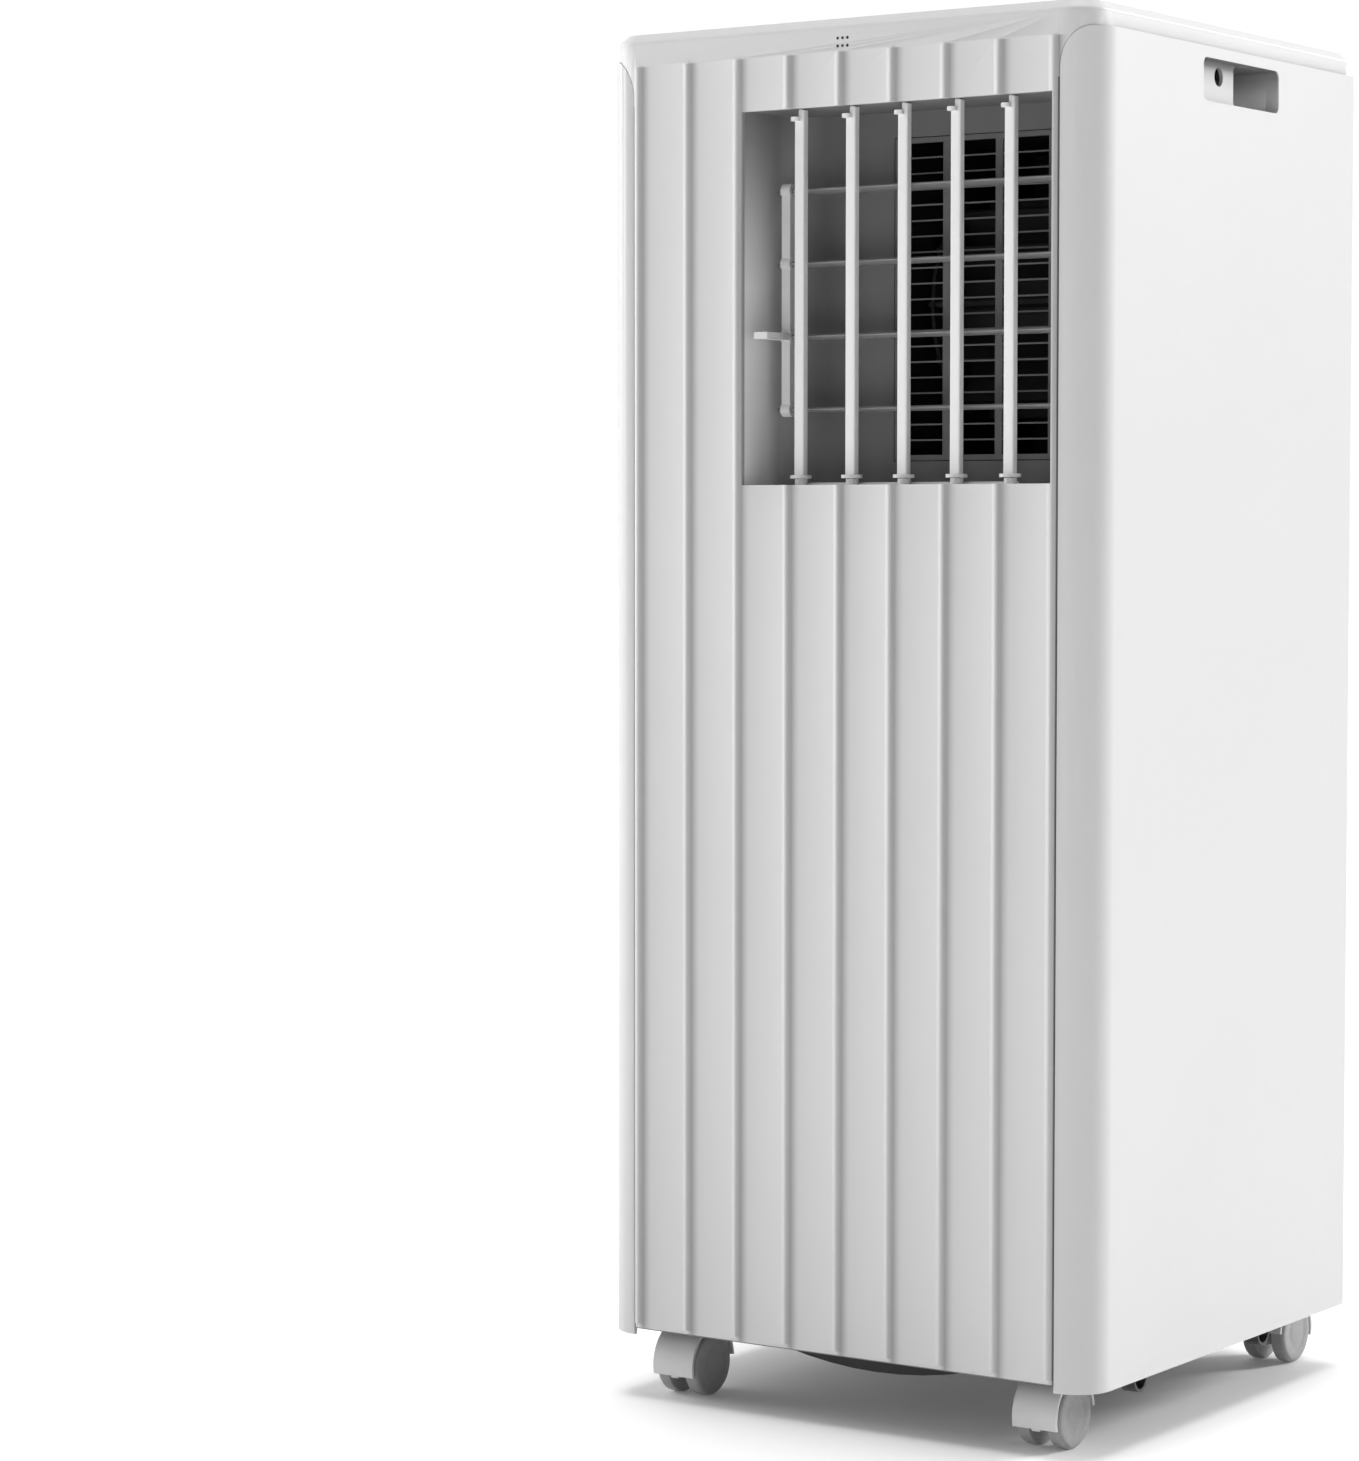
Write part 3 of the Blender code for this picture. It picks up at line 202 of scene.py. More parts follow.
def carve(piece, *tools):
    """Cuts the tools' shapes out of a piece."""
    return combine(piece, tools, "DIFFERENCE")


def fuse(piece, *others):
    """Grows other shapes into a piece."""
    return combine(piece, others, "UNION")


def assemble(name, parts):
    """Several closed shapes in one piece."""
    deselect_all()
    for part in parts:
        part.select_set(True)
    bpy.context.view_layer.objects.active = parts[0]
    bpy.ops.object.join()
    parts[0].name = name
    parts[0].data.name = name
    return parts[0]


def duplicate(piece, name, move=(0, 0, 0), turn=0.0):
    """A copy with its own mesh, turned about the upright axis and then moved."""
    copy = piece.copy()
    copy.data = piece.data.copy()
    copy.data.transform(Matrix.Translation(move) @ Matrix.Rotation(turn, 4, "Z"))
    copy.name = name
    bpy.context.scene.collection.objects.link(copy)
    return copy


def mirrored(piece, name):
    """The left-hand copy of a right-hand piece, its faces turned outwards again."""
    copy = duplicate(piece, name)
    copy.data.transform(Matrix.Diagonal((-1, 1, 1, 1)))
    start_editing(copy, "FACE")
    bpy.ops.mesh.select_all(action="SELECT")
    bpy.ops.mesh.flip_normals()
    stop_editing()
    return copy


def soften(piece, width, segments=2, angle=32.0, even=True):
    """Takes the sharpness off the edges and shades the piece smoothly between them."""
    if width:
        modifier = piece.modifiers.new("Soft edges", "BEVEL")
        modifier.limit_method = "ANGLE"
        modifier.angle_limit = math.radians(angle)
        modifier.width = width
        modifier.segments = segments
        apply_modifier(piece, modifier)
    activate(piece)
    bpy.ops.object.shade_smooth_by_angle(angle=math.radians(50))
    if not even:
        return piece
    modifier = piece.modifiers.new("Even shading", "WEIGHTED_NORMAL")
    modifier.keep_sharp = True
    apply_modifier(piece, modifier)
    return piece


def fit(piece, body, material, slot, *replaced):
    """Gives a finished piece its finish and its body, and hides the plain solids it stands for."""
    piece.data.materials.clear()
    piece.data.materials.append(material)
    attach(piece, body)
    if replaced:
        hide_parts(*replaced)
    return piece


# ---------------------------------------------------------------- finishes


class Finish:
    """A Principled material with room for the textures that vary it."""

    def __init__(self, name, colour, roughness, metallic=0.0, specular=0.5):
        self.material = bpy.data.materials.new(name)
        self.material.use_nodes = True
        self.tree = self.material.node_tree
        self.shader = self.tree.nodes["Principled BSDF"]
        self.colour = colour
        for socket, value in (
            ("Base Color", (*colour, 1)), ("Roughness", roughness), ("Metallic", metallic),
            ("Specular IOR Level", specular),
        ):
            self.shader.inputs[socket].default_value = value
        self.place = self.add("ShaderNodeTexCoord").outputs["Object"]
        self.height = None

    def add(self, kind, **settings):
        node = self.tree.nodes.new(kind)
        for key, value in settings.items():
            setattr(node, key, value)
        return node

    def link(self, source, target):
        self.tree.links.new(source, target)

    def noise(self, scale, detail=2.0, stretch=None):
        """A noise texture on the piece's own coordinates, scale in cells a metre."""
        node = self.add("ShaderNodeTexNoise")
        node.inputs["Scale"].default_value = scale
        node.inputs["Detail"].default_value = detail
        source = self.place
        if stretch:
            mapping = self.add("ShaderNodeMapping")
            mapping.inputs["Scale"].default_value = stretch
            self.link(source, mapping.inputs["Vector"])
            source = mapping.outputs["Vector"]
        self.link(source, node.inputs["Vector"])
        return node.outputs["Fac"]

    def spread(self, source, low, high, start=0.3, end=0.7):
        """A number from low to high as the source goes from start to end."""
        node = self.add("ShaderNodeMapRange")
        for key, value in (("From Min", start), ("From Max", end), ("To Min", low), ("To Max", high)):
            node.inputs[key].default_value = value
        self.link(source, node.inputs["Value"])
        return node.outputs["Result"]

    def work_out(self, operation, *terms):
        """A sum on terms that are sockets or plain numbers."""
        node = self.add("ShaderNodeMath", operation=operation)
        for term, socket in zip(terms, node.inputs):
            if isinstance(term, (int, float)):
                socket.default_value = term
            else:
                self.link(term, socket)
        return node.outputs["Value"]

    def between(self, source, low, high):
        """One where a number lies between low and high, and nought elsewhere."""
        return self.work_out("COMPARE", source, 0.5 * (low + high), 0.5 * (high - low))

    def product(self, first, *factors):
        for factor in factors:
            first = self.work_out("MULTIPLY", first, factor)
        return first

    def axes(self):
        """The place along X, Y and Z."""
        apart = self.add("ShaderNodeSeparateXYZ")
        self.link(self.place, apart.inputs["Vector"])
        return apart.outputs["X"], apart.outputs["Y"], apart.outputs["Z"]

    def bands(self, direction, profile, pitch):
        """Bands across one direction, a pitch apart."""
        wave = self.add("ShaderNodeTexWave", bands_direction=direction, wave_profile=profile)
        wave.inputs["Scale"].default_value = 2 * math.pi / 20 / pitch
        self.link(self.place, wave.inputs["Vector"])
        return wave.outputs["Fac"]

    def tint(self, factor, other):
        """Mixes the colour so far with another one."""
        mix = self.add("ShaderNodeMix", data_type="RGBA")
        self.link(factor, mix.inputs["Factor"])
        first, second = [socket for socket in mix.inputs if socket.type == "RGBA"]
        result = next(socket for socket in mix.outputs if socket.type == "RGBA")
        base = self.shader.inputs["Base Color"]
        if base.is_linked:
            self.link(base.links[0].from_socket, first)
        else:
            first.default_value = (*self.colour, 1)
        second.default_value = (*other, 1)
        self.link(result, base)

    def darken(self, factor, share):
        """Tints towards a share of the plain colour."""
        self.tint(factor, tuple(share * c for c in self.colour))

    def patches(self, scale, detail, most, start=0.3, end=0.7):
        """Cloudy patches, from nought to most."""
        return self.spread(self.noise(scale, detail), 0.0, most, start, end)

    def vary_roughness(self, source, low, high):
        self.link(self.spread(source, low, high), self.shader.inputs["Roughness"])

    def emboss(self, source, distance, strength=1.0):
        """Adds a height to the surface, one bump on top of another."""
        bump = self.add("ShaderNodeBump")
        bump.inputs["Strength"].default_value = strength
        bump.inputs["Distance"].default_value = distance
        self.link(source, bump.inputs["Height"])
        if self.height is not None:
            self.link(self.height, bump.inputs["Normal"])
        self.height = bump.outputs["Normal"]
        self.link(self.height, self.shader.inputs["Normal"])


SPARK_GRAIN = 1400.0  # cells a metre
GRAIN_DEPTH = 0.012 * MM


def plastic(name, colour, roughness, depth=GRAIN_DEPTH, drift=0.02):
    """Injection-moulded plastic: a fine spark-eroded grain and a slow drift in tone and gloss."""
    finish = Finish(name, colour, roughness, specular=0.4)
    finish.darken(finish.patches(7.0, 2.0, 1.0), 1 - drift)
    finish.vary_roughness(finish.noise(90.0, 4.0), roughness - 0.03, roughness + 0.03)
    finish.emboss(finish.noise(SPARK_GRAIN), depth, 0.6)
    return finish


def moulded(name, colour, roughness, **options):
    return plastic(name, colour, roughness, **options).material


def ribbed_moulding(name, colour):
    """The front's plastic, with painted shade in the corner beside each rib, along its lower edge and in the seams at
    its side edges.
    """
    finish = plastic(name, colour, 0.5)
    x, _, z = finish.axes()
    width = finish.work_out("ABSOLUTE", x)
    # Painted shade: a dark band just right of each rib, fading over a few millimetres, where the rib's shadow and the
    # corner's shade fall.
    beside_rib = finish.work_out("WRAP", x, RIB_PITCH - 2 * MM, -2 * MM)
    rise = finish.spread(beside_rib, 0.0, 1.0, -0.2 * MM, 2.4 * MM)
    fall = finish.spread(beside_rib, 1.0, 0.0, 3 * MM, 8 * MM)
    ribbed = finish.product(finish.between(z, 0, 681.5 * MM), finish.between(width, 0, 133 * MM))
    finish.darken(finish.product(rise, fall, fall, ribbed), 0.58)
    # Painted shade along the lower edge: the bottom half millimetre of the face and its underside are darkened, as if
    # in shade under the lip.
    finish.darken(finish.between(z, 0, 37.3 * MM), 0.3)
    # Painted shade on the face's side edges, for the shade in the seams beside the shells.
    seam = finish.between(width, PANEL_HALF - 0.5 * MM, PANEL_HALF + 0.2 * MM)
    finish.darken(finish.product(seam, finish.between(z, 0, BAND_LOW)), 0.2)
    return finish.material


def shell_moulding(name, colour):
    """The shells' plastic, with painted shade under the top edge of the handle recess and painted light at its pocket's
    foot.
    """
    finish = plastic(name, colour, 0.45)
    x, y, z = finish.axes()
    width = finish.work_out("ABSOLUTE", x)
    recess = finish.product(
        finish.between(width, 100 * MM, HALF_WIDTH - 0.7 * MM),
        finish.between(y, FRONT_Y + 108 * MM, FRONT_Y + 193 * MM), finish.between(z, 655 * MM, 682 * MM),
    )
    pocket = finish.product(recess, finish.between(width, 100 * MM, HALF_WIDTH - 7 * MM))
    # Painted light: the foot of the pocket is paled towards white, as if lit while its top is in shade.
    lower = finish.spread(z, 1.0, 0.0, 662 * MM, 674 * MM)
    finish.tint(finish.product(lower, pocket), (0.95, 0.95, 0.95))
    # Painted shade: the recess darkens towards its top edge, as if shaded by its upper lip.
    upper = finish.spread(z, 0.0, 1.0, 662 * MM, 681 * MM)
    finish.darken(finish.product(upper, upper, recess), 0.16)
    return finish.material


def duct_moulding(name):
    """The duct's plastic: pale at the rim, darkened by painted shade towards the back and under the ceiling."""
    finish = Finish(name, (0.80, 0.80, 0.80), 0.6, specular=0.3)
    _, y, z = finish.axes()
    # Painted shade: the pale plastic darkens towards the back of the recess and under its ceiling, where shade falls.
    depth = finish.spread(y, 0.0, 1.0, FRONT_Y + 24 * MM, FRONT_Y + 52 * MM)
    height = finish.spread(z, 0.0, 0.9, 570 * MM, 655 * MM)
    finish.tint(finish.work_out("MAXIMUM", depth, height), (0.18, 0.18, 0.18))
    finish.vary_roughness(finish.noise(16.0, 3.0), 0.55, 0.68)
    finish.emboss(finish.noise(SPARK_GRAIN), GRAIN_DEPTH, 0.6)
    return finish.material


def scuffed(name, colour, scuff, roughness):
    """Wheel plastic with pale scuffs."""
    finish = Finish(name, colour, roughness)
    finish.tint(finish.patches(420.0, 6.0, 0.5, 0.52, 0.72), scuff)
    finish.vary_roughness(finish.noise(180.0, 4.0), roughness - 0.08, roughness + 0.12)
    finish.emboss(finish.noise(900.0, 3.0), 0.03 * MM, 0.7)
    return finish.material


def finned(name):
    """Stacked aluminium fins 1.5 mm apart, with painted shade in the gaps between them."""
    finish = Finish(name, (0.78, 0.79, 0.80), 0.32, 1.0)
    fins = finish.bands("X", "SAW", 1.4804 * MM)
    # Painted shade: the gaps between the fins are darkened nearly to black.
    finish.tint(finish.spread(fins, 1.0, 0.0, 0.05, 0.45), (0.05, 0.05, 0.055))
    finish.emboss(fins, 0.4 * MM, 0.8)
    finish.emboss(finish.noise(90.0, 3.0), 0.3 * MM, 0.3)
    return finish.material


def brushed(name, colour, roughness):
    """Drawn steel with fine lines round it."""
    finish = Finish(name, colour, roughness, 1.0)
    lines = finish.noise(260.0, 4.0, (1, 1, 30))
    finish.vary_roughness(lines, roughness - 0.1, roughness + 0.14)
    finish.darken(finish.patches(24.0, 4.0, 0.5), 0.78)
    finish.emboss(lines, 0.02 * MM, 0.5)
    return finish.material


def copper(name):
    """Copper pipe, dulled brown in patches."""
    finish = Finish(name, (0.80, 0.40, 0.24), 0.28, 1.0)
    finish.tint(finish.patches(40.0, 5.0, 0.7, 0.42, 0.66), (0.36, 0.17, 0.10))
    finish.vary_roughness(finish.noise(70.0, 4.0), 0.2, 0.45)
    return finish.material


def enamel(name):
    """Black enamel with an orange-peel surface and a little dust on top."""
    finish = Finish(name, (0.022, 0.022, 0.024), 0.3)
    finish.tint(finish.patches(30.0, 5.0, 0.35, 0.5, 0.75), (0.12, 0.11, 0.10))
    finish.vary_roughness(finish.noise(50.0, 3.0), 0.24, 0.48)
    finish.emboss(finish.noise(320.0), 0.06 * MM, 0.6)
    return finish.material


def circuit(name):
    """Green laminate with tracks a shade lighter under the lacquer."""
    finish = Finish(name, (0.012, 0.11, 0.045), 0.35)
    tracks = finish.add("ShaderNodeTexVoronoi", feature="DISTANCE_TO_EDGE", distance="CHEBYCHEV")
    tracks.inputs["Scale"].default_value = 240.0
    finish.link(finish.place, tracks.inputs["Vector"])
    lines = finish.spread(tracks.outputs["Distance"], 1.0, 0.0, 0.03, 0.07)
    finish.tint(lines, (0.05, 0.30, 0.12))
    finish.emboss(lines, 0.03 * MM, 0.6)
    finish.vary_roughness(finish.noise(50.0), 0.3, 0.45)
    return finish.material


def woven(name, colour):
    """Nylon mesh: crossing threads 2.4 mm apart, with painted shade in the holes between them."""
    finish = Finish(name, colour, 0.6)
    threads = finish.work_out("MAXIMUM", *(finish.bands(way, "SIN", 2.3687 * MM) for way in ("X", "Z")))
    # Painted shade: the holes between the threads are darkened nearly to black, for the shade behind the mesh.
    finish.tint(finish.spread(threads, 1.0, 0.0, 0.45, 0.75), (0.02, 0.02, 0.02))
    finish.emboss(threads, 0.2 * MM, 0.8)
    return finish.material


def rubber(name):
    """Black rubber, greyed a little, with a dull fine surface."""
    finish = Finish(name, (0.028, 0.028, 0.028), 0.8, specular=0.3)
    finish.tint(finish.patches(120.0, 4.0, 0.5), (0.06, 0.058, 0.055))
    finish.vary_roughness(finish.noise(200.0, 3.0), 0.7, 0.9)
    finish.emboss(finish.noise(1500.0), 0.03 * MM, 0.6)
    return finish.material


def lens(name):
    """A smoked lens with a faint wave in it."""
    finish = Finish(name, (0.012, 0.012, 0.014), 0.08)
    finish.vary_roughness(finish.noise(60.0), 0.05, 0.14)
    finish.emboss(finish.noise(25.0, 1.0), 0.02 * MM, 0.3)
    return finish.material


FRONT_WHITE = ribbed_moulding("front_white", (0.59, 0.59, 0.59))
SHELL_WHITE = shell_moulding("shell_white", (0.59, 0.59, 0.59))
COVER_WHITE = moulded("cover_white", (0.59, 0.59, 0.59), 0.45)
REAR_WHITE = moulded("rear_white", (0.40, 0.40, 0.40), 0.52)
BLADE_WHITE = moulded("blade_white", (0.78, 0.78, 0.78), 0.4)
LINK_WHITE = moulded("link_white", (0.74, 0.74, 0.74), 0.45)
SHADED_DUCT_GREY = duct_moulding("shaded_duct_grey")
GRILLE_GREY = moulded("grille_grey", (0.16, 0.16, 0.16), 0.6)
# Painted shade: the tilting blades are given a dark grey, far darker than the other blade plastic, for the shade deep
# in the outlet.
SHADED_VANE_GREY = moulded("shaded_vane_grey", (0.30, 0.30, 0.30), 0.5)
TIE_GREY = moulded("tie_grey", (0.62, 0.62, 0.62), 0.5)
KEY_WHITE = moulded("key_white", (0.80, 0.80, 0.80), 0.35)
KEY_PLATE_BLACK = moulded("key_plate_black", (0.035, 0.035, 0.038), 0.2, depth=0.004 * MM)
FILTER_GREY = moulded("filter_grey", (0.34, 0.34, 0.34), 0.6)
PAN_BLACK = moulded("pan_black", (0.045, 0.045, 0.047), 0.6, depth=0.03 * MM, drift=0.2)
DECK_BLACK = moulded("deck_black", (0.07, 0.07, 0.07), 0.7, drift=0.2)
BLOWER_BLACK = moulded("blower_black", (0.014, 0.014, 0.015), 0.7, drift=0.2)
WIRING_IVORY = moulded("wiring_ivory", (0.70, 0.68, 0.60), 0.55)
CASTER_GREY = moulded("caster_grey", (0.63, 0.63, 0.63), 0.45)
WHEEL_GREY = scuffed("wheel_grey", (0.30, 0.30, 0.30), (0.38, 0.38, 0.37), 0.45)
FINS = finned("aluminium_fins")
MOTOR_STEEL = brushed("motor_steel", (0.56, 0.56, 0.57), 0.34)
PIPE_COPPER = copper("pipe_copper")
CAN_ENAMEL = enamel("can_enamel")
BOARD_GREEN = circuit("board_green")
SEAL_RUBBER = rubber("seal_rubber")
SMOKED_LENS = lens("smoked_lens")
SIGN_GREY = moulded("sign_grey", (0.06, 0.06, 0.065), 0.5)
PILOT_GREEN = moulded("pilot_green", (0.10, 0.42, 0.16), 0.2)
SCREW_STEEL = brushed("screw_steel", (0.50, 0.50, 0.51), 0.3)
FILTER_MESH = woven("filter_mesh", (0.34, 0.35, 0.36))
DOT_BLACK = moulded("dot_black", (0.02, 0.02, 0.02), 0.6)


# ---------------------------------------------------------------- cabinet


def shell_form(grow):
    """The right-hand shell: a rounded wall with its ear, thickened by grow for its neighbours."""
    outer = HALF_WIDTH + grow
    corner = CORNER + grow
    high = SHELL_HIGH + grow
    low = SHELL_LOW - (30 * MM if grow else 0)
    wall = rounded_block("wall", (0.06, FRONT_Y - grow, low), (outer, BACK_Y + grow, high), corner, 14, 5 * MM)
    left_rounding = block("left_rounding", (0.0, -0.2, low - MM), (0.1, 0.2, high + MM))
    inner = WALL + grow
    hollow = rounded_block(
        "hollow", (0.05, FRONT_Y + inner, low - MM), (HALF_WIDTH - inner, BACK_Y - inner, high + MM),
        CORNER - inner, 14, 2.6 * MM,
    )
    beyond_seam = block("beyond_seam", (0.0, FRONT_Y - 5 * MM, low - MM), (SEAM_X - grow, 0.0, high + MM))
    beyond_lip = block("beyond_lip", (0.0, -MM, low - MM), (128 * MM, 0.2, high + MM))
    centre = (SEAM_X + EAR[0], SHELL_HIGH - EAR[1])
    ear = block(
        "ear_corner", (SEAM_X - 2 * MM, FRONT_Y - 9 * MM, centre[1]), (centre[0], FRONT_Y + 30 * MM, high + 3 * MM)
    )
    tall = EAR[1] + grow
    oval = rod(
        "ear_oval", tall, (centre[0], FRONT_Y - 9.5 * MM, centre[1]), (centre[0], FRONT_Y + 31 * MM, centre[1]),
        LARGE_ROUND, (EAR[0] + grow) / tall,
    )
    carve(ear, oval)
    return carve(wall, left_rounding, hollow, beyond_seam, beyond_lip, ear)


def pocket_form(name, depths, heights, reach, out, radius):
    """A block let into the right-hand shell's side, with rounded corners."""
    low = (HALF_WIDTH - reach, FRONT_Y + depths[0], heights[0])
    high = (HALF_WIDTH + out, FRONT_Y + depths[1], heights[1])
    return round_edges(block(name, low, high), radius, 6, crosswise)


def side_shells():
    """Both side shells with their moulded handle recess: a ledge in front of a deep finger pocket."""
    bottom, top = 659.0 * MM, 680.4 * MM
    start, split, end = 108.8 * MM, 152.7 * MM, 192.0 * MM
    screw = (FRONT_Y + 136.7 * MM, 673.0 * MM)
    floor, wall, inset = 2 * MM, 1.8 * MM, 0.2 * MM
    ledge_back = pocket_form(
        "ledge_back", (start - floor, end + floor), (bottom - floor, top + floor), 8 * MM, -1.2 * MM, 4 * MM
    )
    pocket_back = pocket_form(
        "pocket_back", (split - floor, end + wall), (bottom - wall, top + wall), 28 * MM, -1.3 * MM, 4 * MM
    )
    shell = fuse(shell_form(0.0), ledge_back, pocket_back)
    carve(
        shell,
        pocket_form("ledge", (start, end), (bottom, top), 6 * MM, 2 * MM, 3.5 * MM),
        pocket_form("pocket", (split, end - inset), (bottom + inset, top - inset), 26 * MM, MM, 3.5 * MM),
        rod("screw_hole", 4.7 * MM, (130 * MM, *screw), (139 * MM, *screw), 32),
    )
    soften(shell, 0.45 * MM)
    left = mirrored(shell, "side_shell_skin_left")
    shell.name = "side_shell_skin_right"
    for side, piece in (("right", shell), ("left", left)):
        fit(piece, "cabinet", SHELL_WHITE, "shell_plastic", f"side_shell_{side}")


# A rib's section: how far across it and how far forwards, in millimetres.
RIB_PROFILE = (
    (-4.4, 0.0), (-3.8, 0.01), (-3.2, 0.06), (-2.7, 0.26), (-2.1, 0.7), (-1.5, 1.22), (-0.8, 1.72), (-0.1, 2.0),
    (0.5, 1.98), (0.95, 1.75), (1.3, 1.35), (1.55, 0.98), (1.9, 0.72), (2.4, 0.53), (3.1, 0.36), (4.0, 0.22),
    (5.1, 0.1), (6.4, 0.03), (7.6, 0.0),
)


def rib(x):
    """One rib: a strip whose columns are drawn forwards one by one, with short sloping ends."""
    deselect_all()
    low, high, tip = 38.7 * MM, 682.2 * MM, 1.3 * MM
    base = FRONT_Y + 0.06 * MM
    columns = len(RIB_PROFILE) - 1
    bpy.ops.mesh.primitive_grid_add(
        x_subdivisions=columns, y_subdivisions=3, size=1, location=(x, base, 0.5 * (low + high))
    )
    strip = bpy.context.object
    strip.rotation_euler = (math.radians(90), 0, 0)
    strip.scale = (columns * MM, high - low, 1)
    settle(strip, "rib")
    shape = start_editing(strip, "VERT")
    corners = sorted(shape.verts, key=lambda v: (round(v.co.x, 6), v.co.z))
    rows = len(corners) // len(RIB_PROFILE)
    levels = (low, low + tip, high - tip, high)
    for i, (across, height) in enumerate(RIB_PROFILE):
        for level, corner in zip(levels, corners[i * rows:(i + 1) * rows]):
            lift = height * MM if low < level < high else 0.0
            corner.co = (x + across * MM, base - lift, level)
    bmesh.update_edit_mesh(strip.data)
    bpy.ops.mesh.select_all(action="SELECT")
    bpy.ops.mesh.extrude_region_move(TRANSFORM_OT_translate={"value": (0, 1.0 * MM, 0)})
    bpy.ops.mesh.select_all(action="SELECT")
    bpy.ops.mesh.normals_make_consistent(inside=False)
    stop_editing()
    return strip


def front_moulding():
    """The ribbed face, its outlet opening and the band under the cover, in one moulding."""
    half, back, low = HALF_WIDTH - 3 * MM, BACK_Y - 3 * MM, 36.8 * MM
    ahead, inner = FRONT_Y - 5 * MM, FRONT_Y + WALL
    beyond = 0.2
    face = rounded_block("front_skin", (-half, FRONT_Y, low), (half, back, BAND_HIGH), 17 * MM, 12, 5 * MM)
    hollow = rounded_block(
        "hollow", (WALL - half, inner, low - MM), (half - WALL, back - WALL, BAND_HIGH + MM), 14.6 * MM, 12, 2.6 * MM
    )
    carve(
        face, hollow,
        block("behind_face", (-beyond, inner, low - MM), (beyond, beyond, BAND_LOW)),
        block("left_of_face", (-beyond, ahead, low - MM), (-PANEL_HALF, inner + WALL, BAND_LOW)),
        block("right_of_face", (PANEL_HALF, ahead, low - MM), (beyond, inner + WALL, BAND_LOW)),
        block("behind_ears", (-beyond, FRONT_Y + 28 * MM, BAND_LOW - MM), (beyond, beyond, SHELL_HIGH + GAP)),
    )
    clearance = shell_form(GAP)
    carve(face, mirrored(clearance, "left_clearance"), clearance)
    trim = block("trim", (PANEL_HALF - 0.1 * MM, ahead, 0.03), (0.14, FRONT_Y + 0.8 * MM, 0.7))
    ribs = [rib(RIB_PITCH * i) for i in range(-4, 5)]
    left_trim = mirrored(trim, "left_trim")
    for edge, end in ((ribs[0], left_trim), (ribs[-1], trim)):
        carve(edge, end)
    fuse(face, assemble("ribs", ribs))
    opening = block("opening", (OUTLET_LOW.x, ahead, OUTLET_LOW.z), (OUTLET_HIGH.x, FRONT_Y + 6 * MM, OUTLET_HIGH.z))
    carve(face, opening)
    soften(face, 0.28 * MM, angle=62.0, even=False)
    fit(face, "cabinet", FRONT_WHITE, "front_plastic", "front_panel")
    dots = [
        rod("dot", 0.75 * MM, (x * MM, FRONT_Y - 0.05 * MM, z * MM), (x * MM, FRONT_Y + 0.4 * MM, z * MM), 20)
        for x in (-1.0, 1.8, 4.6) for z in (684.4, 688.2)
    ]
    fit(assemble("sensor_dots", dots), "cabinet", DOT_BLACK, "front_plastic")


def top_cover():
    """The lid with its chamfered rim and the window for the keys."""
    half, back = HALF_WIDTH - 3 * MM, BACK_Y - 3 * MM
    low, rim = BAND_HIGH + 0.04 * MM, 3 * MM
    lid = rounded_block("cover_skin", (-half, FRONT_Y, low), (half, back, TOP_Z), 17 * MM, 14, 5 * MM)
    pick_edges(lid, lambda a, b: min(a.z, b.z) > TOP_Z - TOUCH)
    bpy.ops.mesh.bevel(offset=4.2 * MM, segments=1, affect="EDGES", clamp_overlap=False)
    stop_editing()
    under = rounded_block(
        "under", (rim - half, FRONT_Y + rim, low - MM), (half - rim, back - rim, low + 1.9 * MM), 14 * MM, 8, 3 * MM
    )
    window = rounded_block(
        "window", (-78.3 * MM, FRONT_Y + 27.7 * MM, low - MM), (78.3 * MM, FRONT_Y + 92.3 * MM, TOP_Z + MM), 8 * MM, 8
    )
    carve(lid, under, window)
    pick_edges(lid, lambda a, b: max(a.z, b.z) > TOP_Z - 5 * MM and abs(a.z - b.z) < TOUCH)
    bpy.ops.mesh.bevel(offset=0.5 * MM, segments=3, affect="EDGES")
    stop_editing()
    fit(soften(lid, 0.0), "cabinet", COVER_WHITE, "cover_plastic", "top_cover")


# ---------------------------------------------------------------- air outlet


FLOOR_Z, CEILING_Z = 467.8 * MM, 656.5 * MM
DUCT_LEFT, DUCT_RIGHT = -57.4 * MM, 120.4 * MM
GRILLE_LEFT = 0.0
GRILLE_LOW, GRILLE_HIGH = 482.0 * MM, 643.4 * MM
BOSS_TOP = 473.0 * MM
BLADE_TOP = 655.8 * MM
VERTICAL_Y = FRONT_Y + 14 * MM
VERTICAL_X = [-31 * MM + RIB_PITCH * i for i in range(5)]
HORIZONTAL_Y = FRONT_Y + 35 * MM
HORIZONTAL_Z = [(562.75 + 36.5 * (1.5 - i)) * MM for i in range(4)]
TIE_Y = HORIZONTAL_Y - 10.5 * MM


